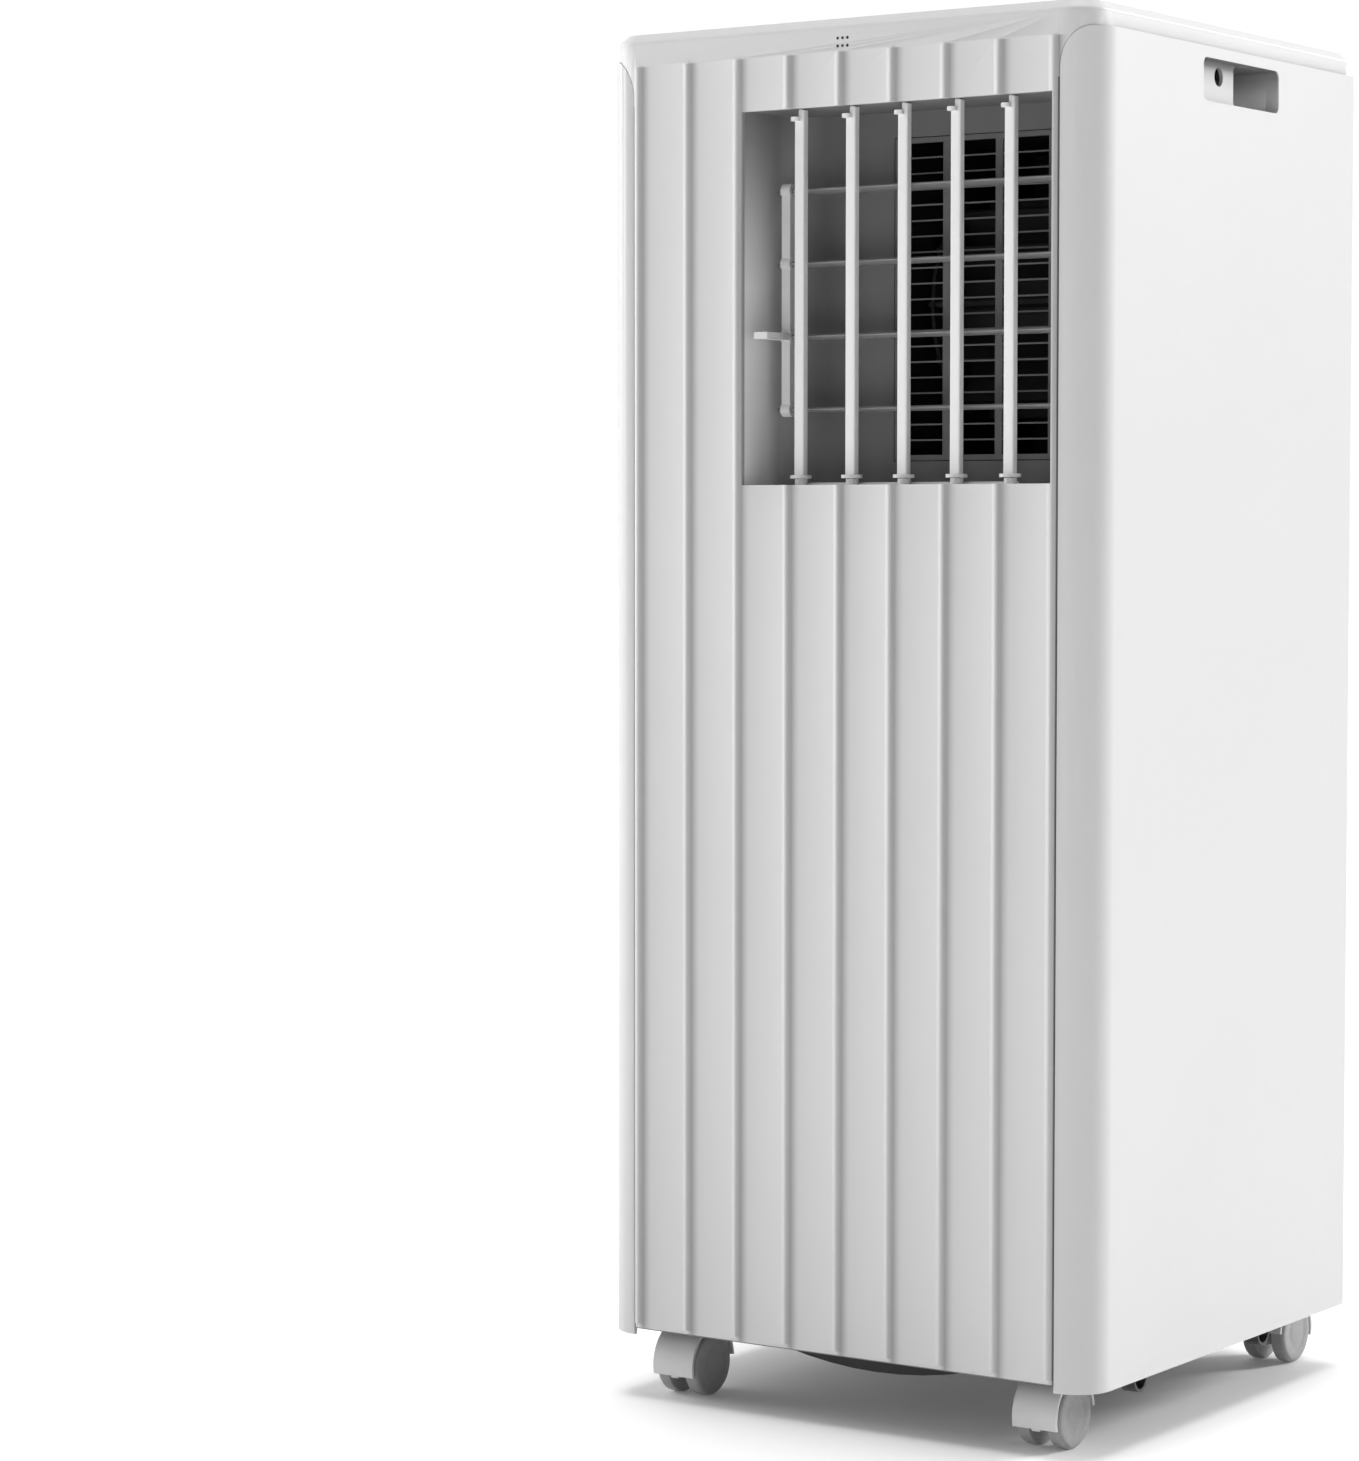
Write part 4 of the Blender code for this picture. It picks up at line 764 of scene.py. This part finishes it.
def outlet_duct():
    """The recess behind the opening, its rear left corner rounded, with the blades' bosses and bores."""
    front, back, wall = FRONT_Y + WALL + GAP, FRONT_Y + 52 * MM, 2 * MM
    duct = block(
        "duct", (DUCT_LEFT - wall, front, FLOOR_Z - wall), (DUCT_RIGHT + wall, back + wall, CEILING_Z + wall)
    )
    hollow = block("hollow", (DUCT_LEFT, front - MM, FLOOR_Z), (DUCT_RIGHT, back, CEILING_Z))
    for piece, radius in ((duct, 20 * MM), (hollow, 18 * MM)):
        round_edges(piece, radius, 14, lambda a, b: upright(a, b) and a.x < 0 and a.y > FRONT_Y + 10 * MM)
    window = block(
        "window", (GRILLE_LEFT, back - MM, GRILLE_LOW), (DUCT_RIGHT - 0.6 * MM, back + 3 * MM, GRILLE_HIGH)
    )
    bosses, bores = [], []
    for x in VERTICAL_X:
        bosses.append(rod("boss", 3 * MM, (x, VERTICAL_Y, FLOOR_Z - MM), (x, VERTICAL_Y, BOSS_TOP)))
        for low, high in ((FLOOR_Z - 3 * MM, BOSS_TOP + MM), (CEILING_Z - MM, CEILING_Z + 3 * MM)):
            bores.append(rod("bore", 1.4 * MM, (x, VERTICAL_Y, low), (x, VERTICAL_Y, high), SMALL_ROUND))
    reach = Vector((3 * MM, 0, 0))
    for z in HORIZONTAL_Z:
        for x in (DUCT_LEFT, DUCT_RIGHT):
            place = Vector((x, HORIZONTAL_Y, z))
            bores.append(rod("bore", 1.6 * MM, place - reach, place + reach, SMALL_ROUND))
    carve(duct, hollow)
    fuse(duct, assemble("bosses", bosses))
    carve(duct, window, assemble("bores", bores))
    duct.name = "outlet_duct_skin"
    fit(soften(duct, 0.25 * MM), "cabinet", SHADED_DUCT_GREY, "duct_plastic", "outlet_duct")


def outlet_grille():
    """The slotted plate at the back: twenty rows of slots in four columns, with softened bars."""
    low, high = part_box("outlet_grille")
    plate = block("grille_skin", low, high)
    rows, pitch, height, width = 20, 7.8 * MM, 6.2 * MM, 25.8 * MM
    start = 562.75 * MM - 0.5 * (rows * pitch - (pitch - height))
    taller = 0.35 * MM
    slots = []
    for column in range(4):
        left = 2.4 * MM + column * RIB_PITCH
        right = min(left + width, high.x - 2 * MM)
        for row in range(rows):
            bottom, top = start + row * pitch - taller, start + row * pitch + height + taller
            slots.append(block("slot", (left, low.y - MM, bottom), (right, high.y + MM, top)))
    carve(plate, assemble("slots", slots))
    fit(soften(plate, 0.3 * MM), "cabinet", GRILLE_GREY, "grille_plastic", "outlet_grille")


def copy_to_bodies(piece, bodies, material, slot):
    """Copies a finished piece to each body, by the body's name and the move, and clears it away."""
    for name, move in bodies.items():
        fit(duplicate(piece, name + "_skin", move), name, material, slot, name)
    bpy.data.objects.remove(piece)


def vertical_blades():
    """Five upright blades: a rounded bar on a flange, an offset disc near the top, pivot pins."""
    x, y = VERTICAL_X[0], VERTICAL_Y
    foot = BOSS_TOP + 0.3 * MM
    notch_z = 652.4 * MM
    blade = block("blade", (x - 2.8 * MM, y - 2.3 * MM, foot + 1.2 * MM), (x + 2.8 * MM, y + 2.3 * MM, BLADE_TOP))
    round_edges(blade, 0.9 * MM, 5, upright)
    flange = rod("flange", 5.3 * MM, (x, y, foot), (x, y, foot + 1.7 * MM), 64)
    disc_at = (x - MM, y - 4 * MM)
    disc = rod("disc", 2.3 * MM, (*disc_at, notch_z - 2 * MM), (*disc_at, notch_z))
    pin = rod("pin", 1.1 * MM, (x, y, 468.6 * MM), (x, y, 658.0 * MM), SMALL_ROUND)
    crank_y = y + 5.2 * MM
    crank = rod("crank", 0.8 * MM, (x, crank_y, 468.9 * MM), (x, crank_y, foot + 0.5 * MM), SMALL_ROUND)
    notch = block("notch", (x - 6 * MM, y - 9 * MM, notch_z), (x - 0.2 * MM, y + 6 * MM, 660 * MM))
    carve(blade, notch)
    fuse(blade, flange, disc, pin, crank)
    places = {f"vertical_blade_{i}": (place - x, 0, 0) for i, place in enumerate(VERTICAL_X, start=1)}
    copy_to_bodies(soften(blade, 0.22 * MM), places, BLADE_WHITE, "blade_plastic")


def horizontal_blades():
    """Four tilting blades behind the upright ones, each with a narrow tail and its pins."""
    y, z = HORIZONTAL_Y, HORIZONTAL_Z[0]
    left, right = -41.5 * MM, 118.5 * MM
    blade = rod("vane", 13 * MM, (left, y, z), (right, y, z), 72)
    pick_edges(blade, lambda a, b: True)
    bpy.ops.transform.resize(value=(1, 1, 0.1), center_override=(0, y, z))
    stop_editing()
    tail = block("tail", (-50 * MM, y - 5.4 * MM, z - 1.1 * MM), (left + MM, y + 8 * MM, z + 1.1 * MM))
    pins = [
        rod("pin", 1.3 * MM, (-59 * MM, y, z), (-49 * MM, y, z), SMALL_ROUND),
        rod("pin", 1.3 * MM, (right - MM, y, z), (121.8 * MM, y, z), SMALL_ROUND),
        rod("crank", 1.2 * MM, (-49.6 * MM, TIE_Y, z), (left + 2 * MM, TIE_Y, z), SMALL_ROUND),
    ]
    fuse(blade, tail, *pins)
    places = {f"horizontal_blade_{i}": (0, 0, place - z) for i, place in enumerate(HORIZONTAL_Z, start=1)}
    copy_to_bodies(soften(blade, 0.25 * MM), places, SHADED_VANE_GREY, "vane_plastic")


def tie_bar():
    """The bar that joins the tilting blades, with an eye at each and the finger lever."""
    top, bottom, grip = HORIZONTAL_Z[0], HORIZONTAL_Z[-1], HORIZONTAL_Z[2]
    y, half_grip = TIE_Y, 1.7 * MM
    bar = block("tie_skin", (-47.8 * MM, y - 2.5 * MM, bottom), (-42.8 * MM, y + 2.3 * MM, top))
    eyes = [rod("eye", 3.6 * MM, (-48 * MM, y, z), (-42.5 * MM, y, z)) for z in HORIZONTAL_Z]
    holes = [rod("hole", 1.5 * MM, (-52 * MM, y, z), (-40 * MM, y, z), SMALL_ROUND) for z in HORIZONTAL_Z]
    lever = block(
        "lever", (-50.6 * MM, FRONT_Y + 0.8 * MM, grip - half_grip), (-42.6 * MM, y - 1.9 * MM, grip + half_grip)
    )
    fuse(bar, assemble("eyes", eyes), lever)
    carve(bar, assemble("holes", holes))
    fit(soften(bar, 0.35 * MM), "horizontal_tie", TIE_GREY, "tie_plastic", "horizontal_tie")


# ---------------------------------------------------------------- rear and top


COLLAR = (38 * MM, 345 * MM)
DRAIN = (-60 * MM, 51 * MM)
CORD = (-100 * MM, 290 * MM)


def behind(depth):
    """The place along Y of a depth in millimetres behind the front face."""
    return FRONT_Y + depth * MM


def peg(name, centre, radius, start, end, sides=ROUND):
    """A cylinder that runs front to back, between two depths in millimetres."""
    x, z = centre
    return rod(name, radius, (x, behind(start), z), (x, behind(end), z), sides)


def board(name, x, z, start, end):
    """A block by its two ends along X and along Z, between two depths in millimetres."""
    return block(name, (x[0], behind(start), z[0]), (x[1], behind(end), z[1]))


def across(centre, half):
    return centre - half, centre + half


def rear_panel():
    """The rear plate with its filter windows, their sunk borders and its vents."""
    panel = board("rear_skin", (-127.7 * MM, 127.7 * MM), (36.8 * MM, 684.8 * MM), 282.6, 285)
    before, beyond = 280, 287
    for low, high in ((462 * MM, 646 * MM), (68 * MM, 252 * MM)):
        window = board("window", across(0, 108 * MM), (low, high), before, beyond)
        border = board("border", across(0, 112 * MM), (low - 4 * MM, high + 4 * MM), 284.2, beyond)
        for piece in (window, border):
            round_edges(piece, 1.5 * MM, 4, lengthwise)
        carve(panel, border, window)
    cuts = [
        peg("collar_hole", COLLAR, 62.5 * MM, before, 288, LARGE_ROUND),
        peg("drain_hole", DRAIN, 7.2 * MM, before, 288),
        peg("cord_hole", CORD, 6.4 * MM, before, 288),
    ]
    for row in range(7):
        for column in range(2):
            left, low = (-112 + column * 34) * MM, (330 + row * 9) * MM
            slot = board("vent", (left, left + 28 * MM), (low, low + 4 * MM), before, beyond)
            cuts.append(round_edges(slot, 1.9 * MM, 5, lengthwise))
    screws = [(side * 119 * MM, z * MM) for side in (-1, 1) for z in (50, 262, 452, 672)]
    sinks = [peg("sink", at, 4.4 * MM, 284.0, beyond) for at in screws]
    carve(panel, assemble("cuts", cuts + sinks))
    fit(soften(panel, 0.3 * MM), "cabinet", REAR_WHITE, "rear_plastic", "rear_panel")
    rear_screws(screws)


def rear_screws(places):
    """Sunk cross-head screws."""
    x, z = places[0]
    head = peg("head", places[0], 3.4 * MM, 283.0, 284.7, 32)
    pick_edges(head, lambda a, b: min(a.y, b.y) > behind(284.6))
    bpy.ops.mesh.bevel(offset=0.5 * MM, segments=3, affect="EDGES")
    stop_editing()
    long, narrow = 2 * MM, 0.35 * MM
    level_slot = board("slot", across(x, long), across(z, narrow), 284, 286)
    upright_slot = board("slot", across(x, narrow), across(z, long), 284, 286)
    carve(head, level_slot, upright_slot)
    heads = [duplicate(head, "head", (at[0] - x, 0, at[1] - z)) for at in places]
    bpy.data.objects.remove(head)
    fit(soften(assemble("rear_screws", heads), 0.0), "cabinet", SCREW_STEEL, "rear_plastic")


def filters():
    """Two slatted cassettes with a pull tab, and the fine mesh stretched behind the slats."""
    half, rim, bar, slat, columns, rows = 107.7 * MM, 8 * MM, 4 * MM, 1.4 * MM, 3, 10
    for name, low, high in (("upper_filter", 462.3 * MM, 645.7 * MM), ("lower_filter", 68.3 * MM, 251.7 * MM)):
        cassette = board(name + "_skin", across(0, half), (low, high), 281, 286)
        pitch, span = (high - low - 2 * rim) / rows, (2 * half - 2 * rim + bar) / columns
        slots = []
        for row in range(rows):
            for column in range(columns):
                left, bottom = -half + rim + column * span, low + rim + row * pitch
                slots.append(board("slot", (left, left + span - bar), (bottom + slat, bottom + pitch - slat), 280, 287))
        carve(cassette, assemble("slots", slots))
        tab = board("tab", across(0, 14 * MM), (high - 6 * MM, high - 3 * MM), 284, 289.5)
        round_edges(tab, 1.2 * MM, 4, lengthwise)
        fuse(cassette, tab)
        fit(soften(cassette, 0.5 * MM, 3), name, FILTER_GREY, "filter_plastic", name)
        mesh = board(name + "_mesh", across(0, half - 4 * MM), (low + 4 * MM, high - 4 * MM), 281.3, 281.7)
        fit(soften(mesh, 0.1 * MM), name, FILTER_MESH, "filter_plastic")


def exhaust_collar():
    """The hose collar: a thin ring with a flange on the panel and two beads that hold the hose."""
    sides = 128
    ring = peg("collar_skin", COLLAR, 62 * MM, 228.3, 301.8, sides)
    fuse(ring, peg("flange", COLLAR, 70 * MM, 285.3, 288.3, sides))
    for depth in (293.0, 298.6):
        fuse(ring, peg("bead", COLLAR, 62.9 * MM, depth, depth + 1.6, sides))
    carve(ring, peg("bore", COLLAR, 59.5 * MM, 227, 303, sides))
    fit(soften(ring, 0.6 * MM, 3), "cabinet", REAR_WHITE, "collar_plastic", "exhaust_collar")


def rubber_parts():
    """The drain plug with its tab, and the gland with its bore."""
    plug = fuse(peg("plug_skin", DRAIN, 4.6 * MM, 274, 286), peg("head", DRAIN, 9 * MM, 285.3, 288))
    tab = board("tab", across(DRAIN[0], MM), across(DRAIN[1], 6 * MM), 287.5, 296)
    round_edges(tab, 3 * MM, 6, lambda a, b: crosswise(a, b) and a.y > behind(290))
    fit(soften(fuse(plug, tab), 0.4 * MM, 3), "drain_plug", SEAL_RUBBER, "plug_rubber", "drain_plug")
    gland = fuse(peg("gland_skin", CORD, 6 * MM, 279, 286), peg("head", CORD, 9.5 * MM, 285.3, 288))
    carve(gland, peg("bore", CORD, 3.6 * MM, 277, 290))
    fit(soften(gland, 0.5 * MM, 3), "cabinet", SEAL_RUBBER, "gland_rubber", "cord_gland")


KEYS = {"power": -62 * MM, "mode": -42 * MM, "timer": -22 * MM, "fan": 28 * MM, "cooler": 48 * MM, "warmer": 68 * MM}
KEY_Y = behind(60)
KEY_FOOT, KEY_TOP = 691.6 * MM, 698.2 * MM
SIGN_HEIGHT = 0.25 * MM


def disc_mark(x, y, radius, z):
    return rod("mark", radius, (x, y, z), (x, y, z + SIGN_HEIGHT), SMALL_ROUND)


def bar_mark(x, y, width, length, z):
    return block("mark", (x - width / 2, y - length / 2, z), (x + width / 2, y + length / 2, z + SIGN_HEIGHT))


def key_mark(kind, x, y, z):
    """The plain sign on each key: a bar, a cross, three dots, three blades, or a ring with a hand."""
    long, narrow = 3.6 * MM, 0.8 * MM
    if kind == "cooler":
        return [bar_mark(x, y, long, narrow, z)]
    if kind == "warmer":
        return [fuse(bar_mark(x, y, long, narrow, z), bar_mark(x, y, narrow, long, z - 0.02 * MM))]
    if kind == "mode":
        return [disc_mark(x + step * MM, y, 0.6 * MM, z) for step in (-1.9, 0, 1.9)]
    if kind == "fan":
        away = 1.4 * MM
        return [
            disc_mark(x + away * math.cos(turn), y + away * math.sin(turn), 0.85 * MM, z)
            for turn in (math.radians(90), math.radians(210), math.radians(330))
        ]
    ring = disc_mark(x, y, 2.2 * MM, z)
    carve(ring, rod("centre", 1.6 * MM, (x, y, z - MM), (x, y, z + MM), SMALL_ROUND))
    if kind == "power":
        carve(ring, block("gap", (x - 0.8 * MM, y, z - MM), (x + 0.8 * MM, y + 3 * MM, z + MM)))
        return [ring, bar_mark(x, y + 1.4 * MM, 0.6 * MM, 2.4 * MM, z)]
    return [ring, bar_mark(x, y + 0.5 * MM, 0.5 * MM, 1.2 * MM, z)]


def keys():
    """Six round keys with a dished top, and the plain sign on each."""
    first, sides = KEYS["power"], 64
    key = rod("key", 5.4 * MM, (first, KEY_Y, KEY_FOOT), (first, KEY_Y, KEY_TOP), sides)
    pick_edges(key, lambda a, b: min(a.z, b.z) > KEY_TOP - TOUCH)
    bpy.ops.mesh.bevel(offset=0.8 * MM, segments=5, affect="EDGES", clamp_overlap=False)
    stop_editing()
    pick_faces(key, lambda c, n: n.z > 0.99 and c.z > KEY_TOP - 10 * TOUCH)
    for thickness, sink in ((0.6, 0.0), (1.4, 0.2), (1.2, 0.05)):
        bpy.ops.mesh.inset(thickness=thickness * MM, depth=-sink * MM)
    stop_editing()
    fuse(key, rod("rim", 6.6 * MM, (first, KEY_Y, KEY_FOOT), (first, KEY_Y, KEY_FOOT + 1.3 * MM), sides))
    soften(key, 0.15 * MM)
    for kind, x in KEYS.items():
        body = f"button_{kind}"
        fit(duplicate(key, body + "_skin", (x - first, 0, 0)), body, KEY_WHITE, "key_plastic", body)
        marks = assemble(f"key_sign_{kind}", key_mark(kind, x, KEY_Y, KEY_TOP - 0.4 * MM))
        fit(soften(marks, 0.0), body, SIGN_GREY, "key_plastic")
    bpy.data.objects.remove(key)


def control_panel():
    """The glossy key plate with a softened rim, pilot lights behind the keys and the display lens."""
    near, far = behind(28), behind(92)
    below, above = 690 * MM, 700 * MM
    plate = rounded_block("key_plate_skin", (-78 * MM, near, 693.9 * MM), (78 * MM, far, 697.2 * MM), 8 * MM, 12)
    rim = 3 * MM
    fuse(plate, block("flange", (-78 * MM - rim, near - rim, 693.3 * MM), (78 * MM + rim, far + rim, 694.6 * MM)))
    holes = [rod("hole", 5.7 * MM, (x, KEY_Y, below), (x, KEY_Y, above), 64) for x in KEYS.values()]
    lens_hole = block("lens_hole", (-8.3 * MM, behind(48), below), (14.3 * MM, behind(72), above))
    carve(plate, assemble("holes", holes), round_edges(lens_hole, MM, 4, upright))
    fit(soften(plate, 0.35 * MM, 3), "cabinet", KEY_PLATE_BLACK, "key_plate_plastic", "control_panel")
    window = block("display_skin", (-8 * MM, behind(48.3), 695 * MM), (14 * MM, behind(71.7), 697 * MM))
    round_edges(window, 0.8 * MM, 4, upright)
    fit(soften(window, 0.2 * MM), "cabinet", SMOKED_LENS, "display_lens", "display_window")
    light_y = behind(72)
    lights = [
        rod("light", 0.9 * MM, (x, light_y, 696.6 * MM), (x, light_y, 697.35 * MM), SMALL_ROUND)
        for x in KEYS.values()
    ]
    fit(soften(assemble("pilot_lights", lights), 0.15 * MM), "cabinet", PILOT_GREEN, "key_plate_plastic")


# ---------------------------------------------------------------- casters


WHEEL_RADIUS = 16.5 * MM


def caster_wheel(place, side, axle_y):
    """One wheel with its rounded tread, a sunk ring on its outer face and its bore."""
    z, sides = WHEEL_RADIUS, LARGE_ROUND
    near, far = place + side * 5.0 * MM, place + side * 12.6 * MM
    wheel = rod("wheel", WHEEL_RADIUS, (near, axle_y, z), (far, axle_y, z), sides)
    for face, radius, segments in ((far, 2.4 * MM, 6), (near, 0.8 * MM, 3)):
        round_edges(wheel, radius, segments, lambda a, b: abs(a.x - face) < TOUCH and abs(b.x - face) < TOUCH)
    pick_faces(wheel, lambda c, n: abs(c.x - far) < TOUCH)
    for thickness, rise in ((3.0, 0.0), (0.7, -0.5), (4.2, 0.0), (0.6, 0.4)):
        bpy.ops.mesh.inset(thickness=thickness * MM, depth=rise * MM)
    stop_editing()
    carve(wheel, rod("bore", 2.3 * MM, (near - side * MM, axle_y, z), (near + side * 6.8 * MM, axle_y, z), 32))
    return soften(wheel, 0.0)


def caster_hood(place, axle_y, stem_y):
    """The frame of one caster: a curved hood, a web between the wheels, the axle and the stem."""
    z, half, radius, sides = WHEEL_RADIUS, 12.2 * MM, 19.5 * MM, LARGE_ROUND
    far = 30 * MM
    hood = rod("hood", radius, (place - half, axle_y, z), (place + half, axle_y, z), sides)
    hollow = rod("hollow", radius - 1.6 * MM, (place - 20 * MM, axle_y, z), (place + 20 * MM, axle_y, z), sides)
    front_cut = block("front_cut", (place - far, axle_y - far, -far), (place + far, axle_y, z - 4.7 * MM))
    rear_cut = block("rear_cut", (place - far, axle_y - MM, -far), (place + far, axle_y + far, z + 1.7 * MM))
    carve(hood, hollow, front_cut, rear_cut)
    web = rod("web", radius - MM, (place - 2.2 * MM, axle_y, z), (place + 2.2 * MM, axle_y, z), sides)
    carve(web, block("under", (place - 0.01, axle_y - far, -0.01), (place + 0.01, axle_y + far, 10.5 * MM)))
    axle = rod("axle", 2 * MM, (place - 11.6 * MM, axle_y, z), (place + 11.6 * MM, axle_y, z), 32)
    stem = rod("stem", 3.1 * MM, (place, stem_y, 30 * MM), (place, stem_y, 53 * MM), 40)
    fuse(hood, web, axle, stem)
    return soften(hood, 0.35 * MM)


def casters():
    """A twin-wheel caster near each corner; the rear ones are the front ones turned round."""
    place = 106.5 * MM
    axle_y, stem_y = FRONT_Y + 30 * MM, FRONT_Y + 36 * MM
    hood = caster_hood(place, axle_y, stem_y)
    wheels = [caster_wheel(place, side, axle_y) for side in (1, -1)]
    turned_y = 2 * FRONT_Y + 305 * MM
    corners = {
        "front_right": ((0, 0, 0), 0.0),
        "front_left": ((-2 * place, 0, 0), 0.0),
        "rear_right": ((2 * place, turned_y, 0), math.pi),
        "rear_left": ((0, turned_y, 0), math.pi),
    }
    for corner, (move, turn) in corners.items():
        hood_copy = duplicate(hood, f"caster_hood_{corner}", move, turn)
        fit(hood_copy, f"caster_{corner}", CASTER_GREY, "caster_plastic", f"caster_frame_{corner}")
        copies = [duplicate(wheel, "wheel", move, turn) for wheel in wheels]
        copies.sort(key=lambda copy: abs(sum(end[0] for end in copy.bound_box)))
        for layer, copy in zip(("inner", "outer"), copies):
            name = f"wheel_{corner}_{layer}"
            copy.name = name + "_skin"
            fit(copy, name, WHEEL_GREY, "caster_wheel_plastic", name)
    for piece in (hood, *wheels):
        bpy.data.objects.remove(piece)


# ---------------------------------------------------------------- studio


def hang_light(name, kind, azimuth, elevation, strength):
    """A light 3 m from the middle of the unit and aimed at it. Azimuth 0 is in front and 90 is right."""
    turn, rise = math.radians(azimuth), math.radians(elevation)
    away = Vector((math.sin(turn) * math.cos(rise), -math.cos(turn) * math.cos(rise), math.sin(rise)))
    light = bpy.data.objects.new(name, bpy.data.lights.new(name, kind))
    light.data.energy = strength
    light.location = Vector((0, 0, 0.35)) + 3.0 * away
    light.rotation_euler = away.to_track_quat("Z", "Y").to_euler()
    bpy.context.scene.collection.objects.link(light)
    return light


def area_light(name, azimuth, elevation, size, power):
    """A soft box, which the camera doesn't see."""
    light = hang_light(name, "AREA", azimuth, elevation, power)
    light.data.shape = "RECTANGLE"
    light.data.size, light.data.size_y = size
    light.visible_camera = False


def distant_light(name, azimuth, elevation, spread, strength):
    """A far, even light, spread is its width across the sky in degrees."""
    hang_light(name, "SUN", azimuth, elevation, strength).data.angle = math.radians(spread)


def white_room():
    """The surroundings, from dim behind the camera to bright behind the unit."""
    world = bpy.data.worlds.new("studio")
    bpy.context.scene.world = world
    world.use_nodes = True
    tree = world.node_tree
    background = tree.nodes["Background"]
    place = tree.nodes.new("ShaderNodeTexCoord")
    along = tree.nodes.new("ShaderNodeVectorMath")
    along.operation = "DOT_PRODUCT"
    along.inputs[1].default_value = (-0.566, 0.824, 0.0)
    ramp = tree.nodes.new("ShaderNodeMapRange")
    for key, value in (("From Min", -0.9), ("From Max", 0.85), ("To Min", 0.04), ("To Max", 1.02)):
        ramp.inputs[key].default_value = value
    tree.links.new(place.outputs["Generated"], along.inputs[0])
    tree.links.new(along.outputs["Value"], ramp.inputs["Value"])
    tree.links.new(ramp.outputs["Result"], background.inputs["Strength"])
    background.inputs["Color"].default_value = (1, 1, 1, 1)


def paper_floor():
    deselect_all()
    bpy.ops.mesh.primitive_plane_add(size=60, location=(0, 0, 0))
    floor = bpy.context.object
    floor.name = "studio_floor"
    paper = Finish("floor_paper", (0.90, 0.90, 0.90), 0.7, specular=0.2)
    paper.tint(paper.patches(1.5, 2.0, 1.0), (0.89, 0.89, 0.89))
    paper.shader.inputs["Emission Color"].default_value = (1, 1, 1, 1)
    paper.shader.inputs["Emission Strength"].default_value = 0.06
    floor.data.materials.append(paper.material)


def studio():
    """A pale floor in a white room, soft boxes at the left and in front, a window and an overhead light."""
    white_room()
    paper_floor()
    area_light("left_box", -78, 14, (1.5, 1.8), 44)
    area_light("front_box", -8, 15, (1.4, 1.4), 9)
    distant_light("overhead", 0, 90, 32, 1.9)
    distant_light("right_window", 147, 22, 16, 2.6)
    scene = bpy.context.scene
    scene.view_settings.view_transform = "Standard"
    camera = bpy.data.objects.new("camera", bpy.data.cameras.new("camera"))
    camera.data.lens = 98.27
    camera.data.sensor_width = 36
    camera.data.clip_end = 100
    camera.location = (1.0503, -1.8149, 0.4530)
    down, left = 3.032, 34.524
    camera.rotation_euler = (math.radians(90 - down), 0, math.radians(left))
    scene.collection.objects.link(camera)
    scene.camera = camera


def dress_solids():
    """Finishes for the solids whose own shape is shown."""
    finishes = {
        "duct_plastic": SHADED_DUCT_GREY, "grille_plastic": GRILLE_GREY, "blade_plastic": BLADE_WHITE,
        "link_plastic": LINK_WHITE, "vane_plastic": SHADED_VANE_GREY, "tie_plastic": TIE_GREY,
        "front_plastic": FRONT_WHITE, "shell_plastic": SHELL_WHITE, "cover_plastic": COVER_WHITE,
        "rear_plastic": REAR_WHITE, "pan_plastic": PAN_BLACK, "key_plate_plastic": KEY_PLATE_BLACK,
        "display_lens": SMOKED_LENS, "key_plastic": KEY_WHITE, "board_laminate": BOARD_GREEN,
        "wiring_plastic": WIRING_IVORY, "deck_plastic": DECK_BLACK, "fin_aluminium": FINS,
        "can_paint": CAN_ENAMEL, "pipe_copper": PIPE_COPPER, "volute_plastic": BLOWER_BLACK,
        "rotor_plastic": BLOWER_BLACK, "motor_steel": MOTOR_STEEL, "scroll_plastic": BLOWER_BLACK,
        "fan_plastic": BLOWER_BLACK, "motor_case": MOTOR_STEEL, "collar_plastic": REAR_WHITE,
        "filter_plastic": FILTER_GREY, "plug_rubber": SEAL_RUBBER, "gland_rubber": SEAL_RUBBER,
        "caster_plastic": CASTER_GREY, "caster_wheel_plastic": WHEEL_GREY,
    }
    for part in frame["record"]["subparts"]:
        solid = nodes[part["node"]]
        solid.data.materials.clear()
        solid.data.materials.append(finishes[part["material_slot"]])


for make in (
    studio, dress_solids, side_shells, front_moulding, top_cover, outlet_duct, outlet_grille, vertical_blades,
    horizontal_blades, tie_bar, rear_panel, filters, exhaust_collar, rubber_parts, control_panel, keys, casters,
):
    make()
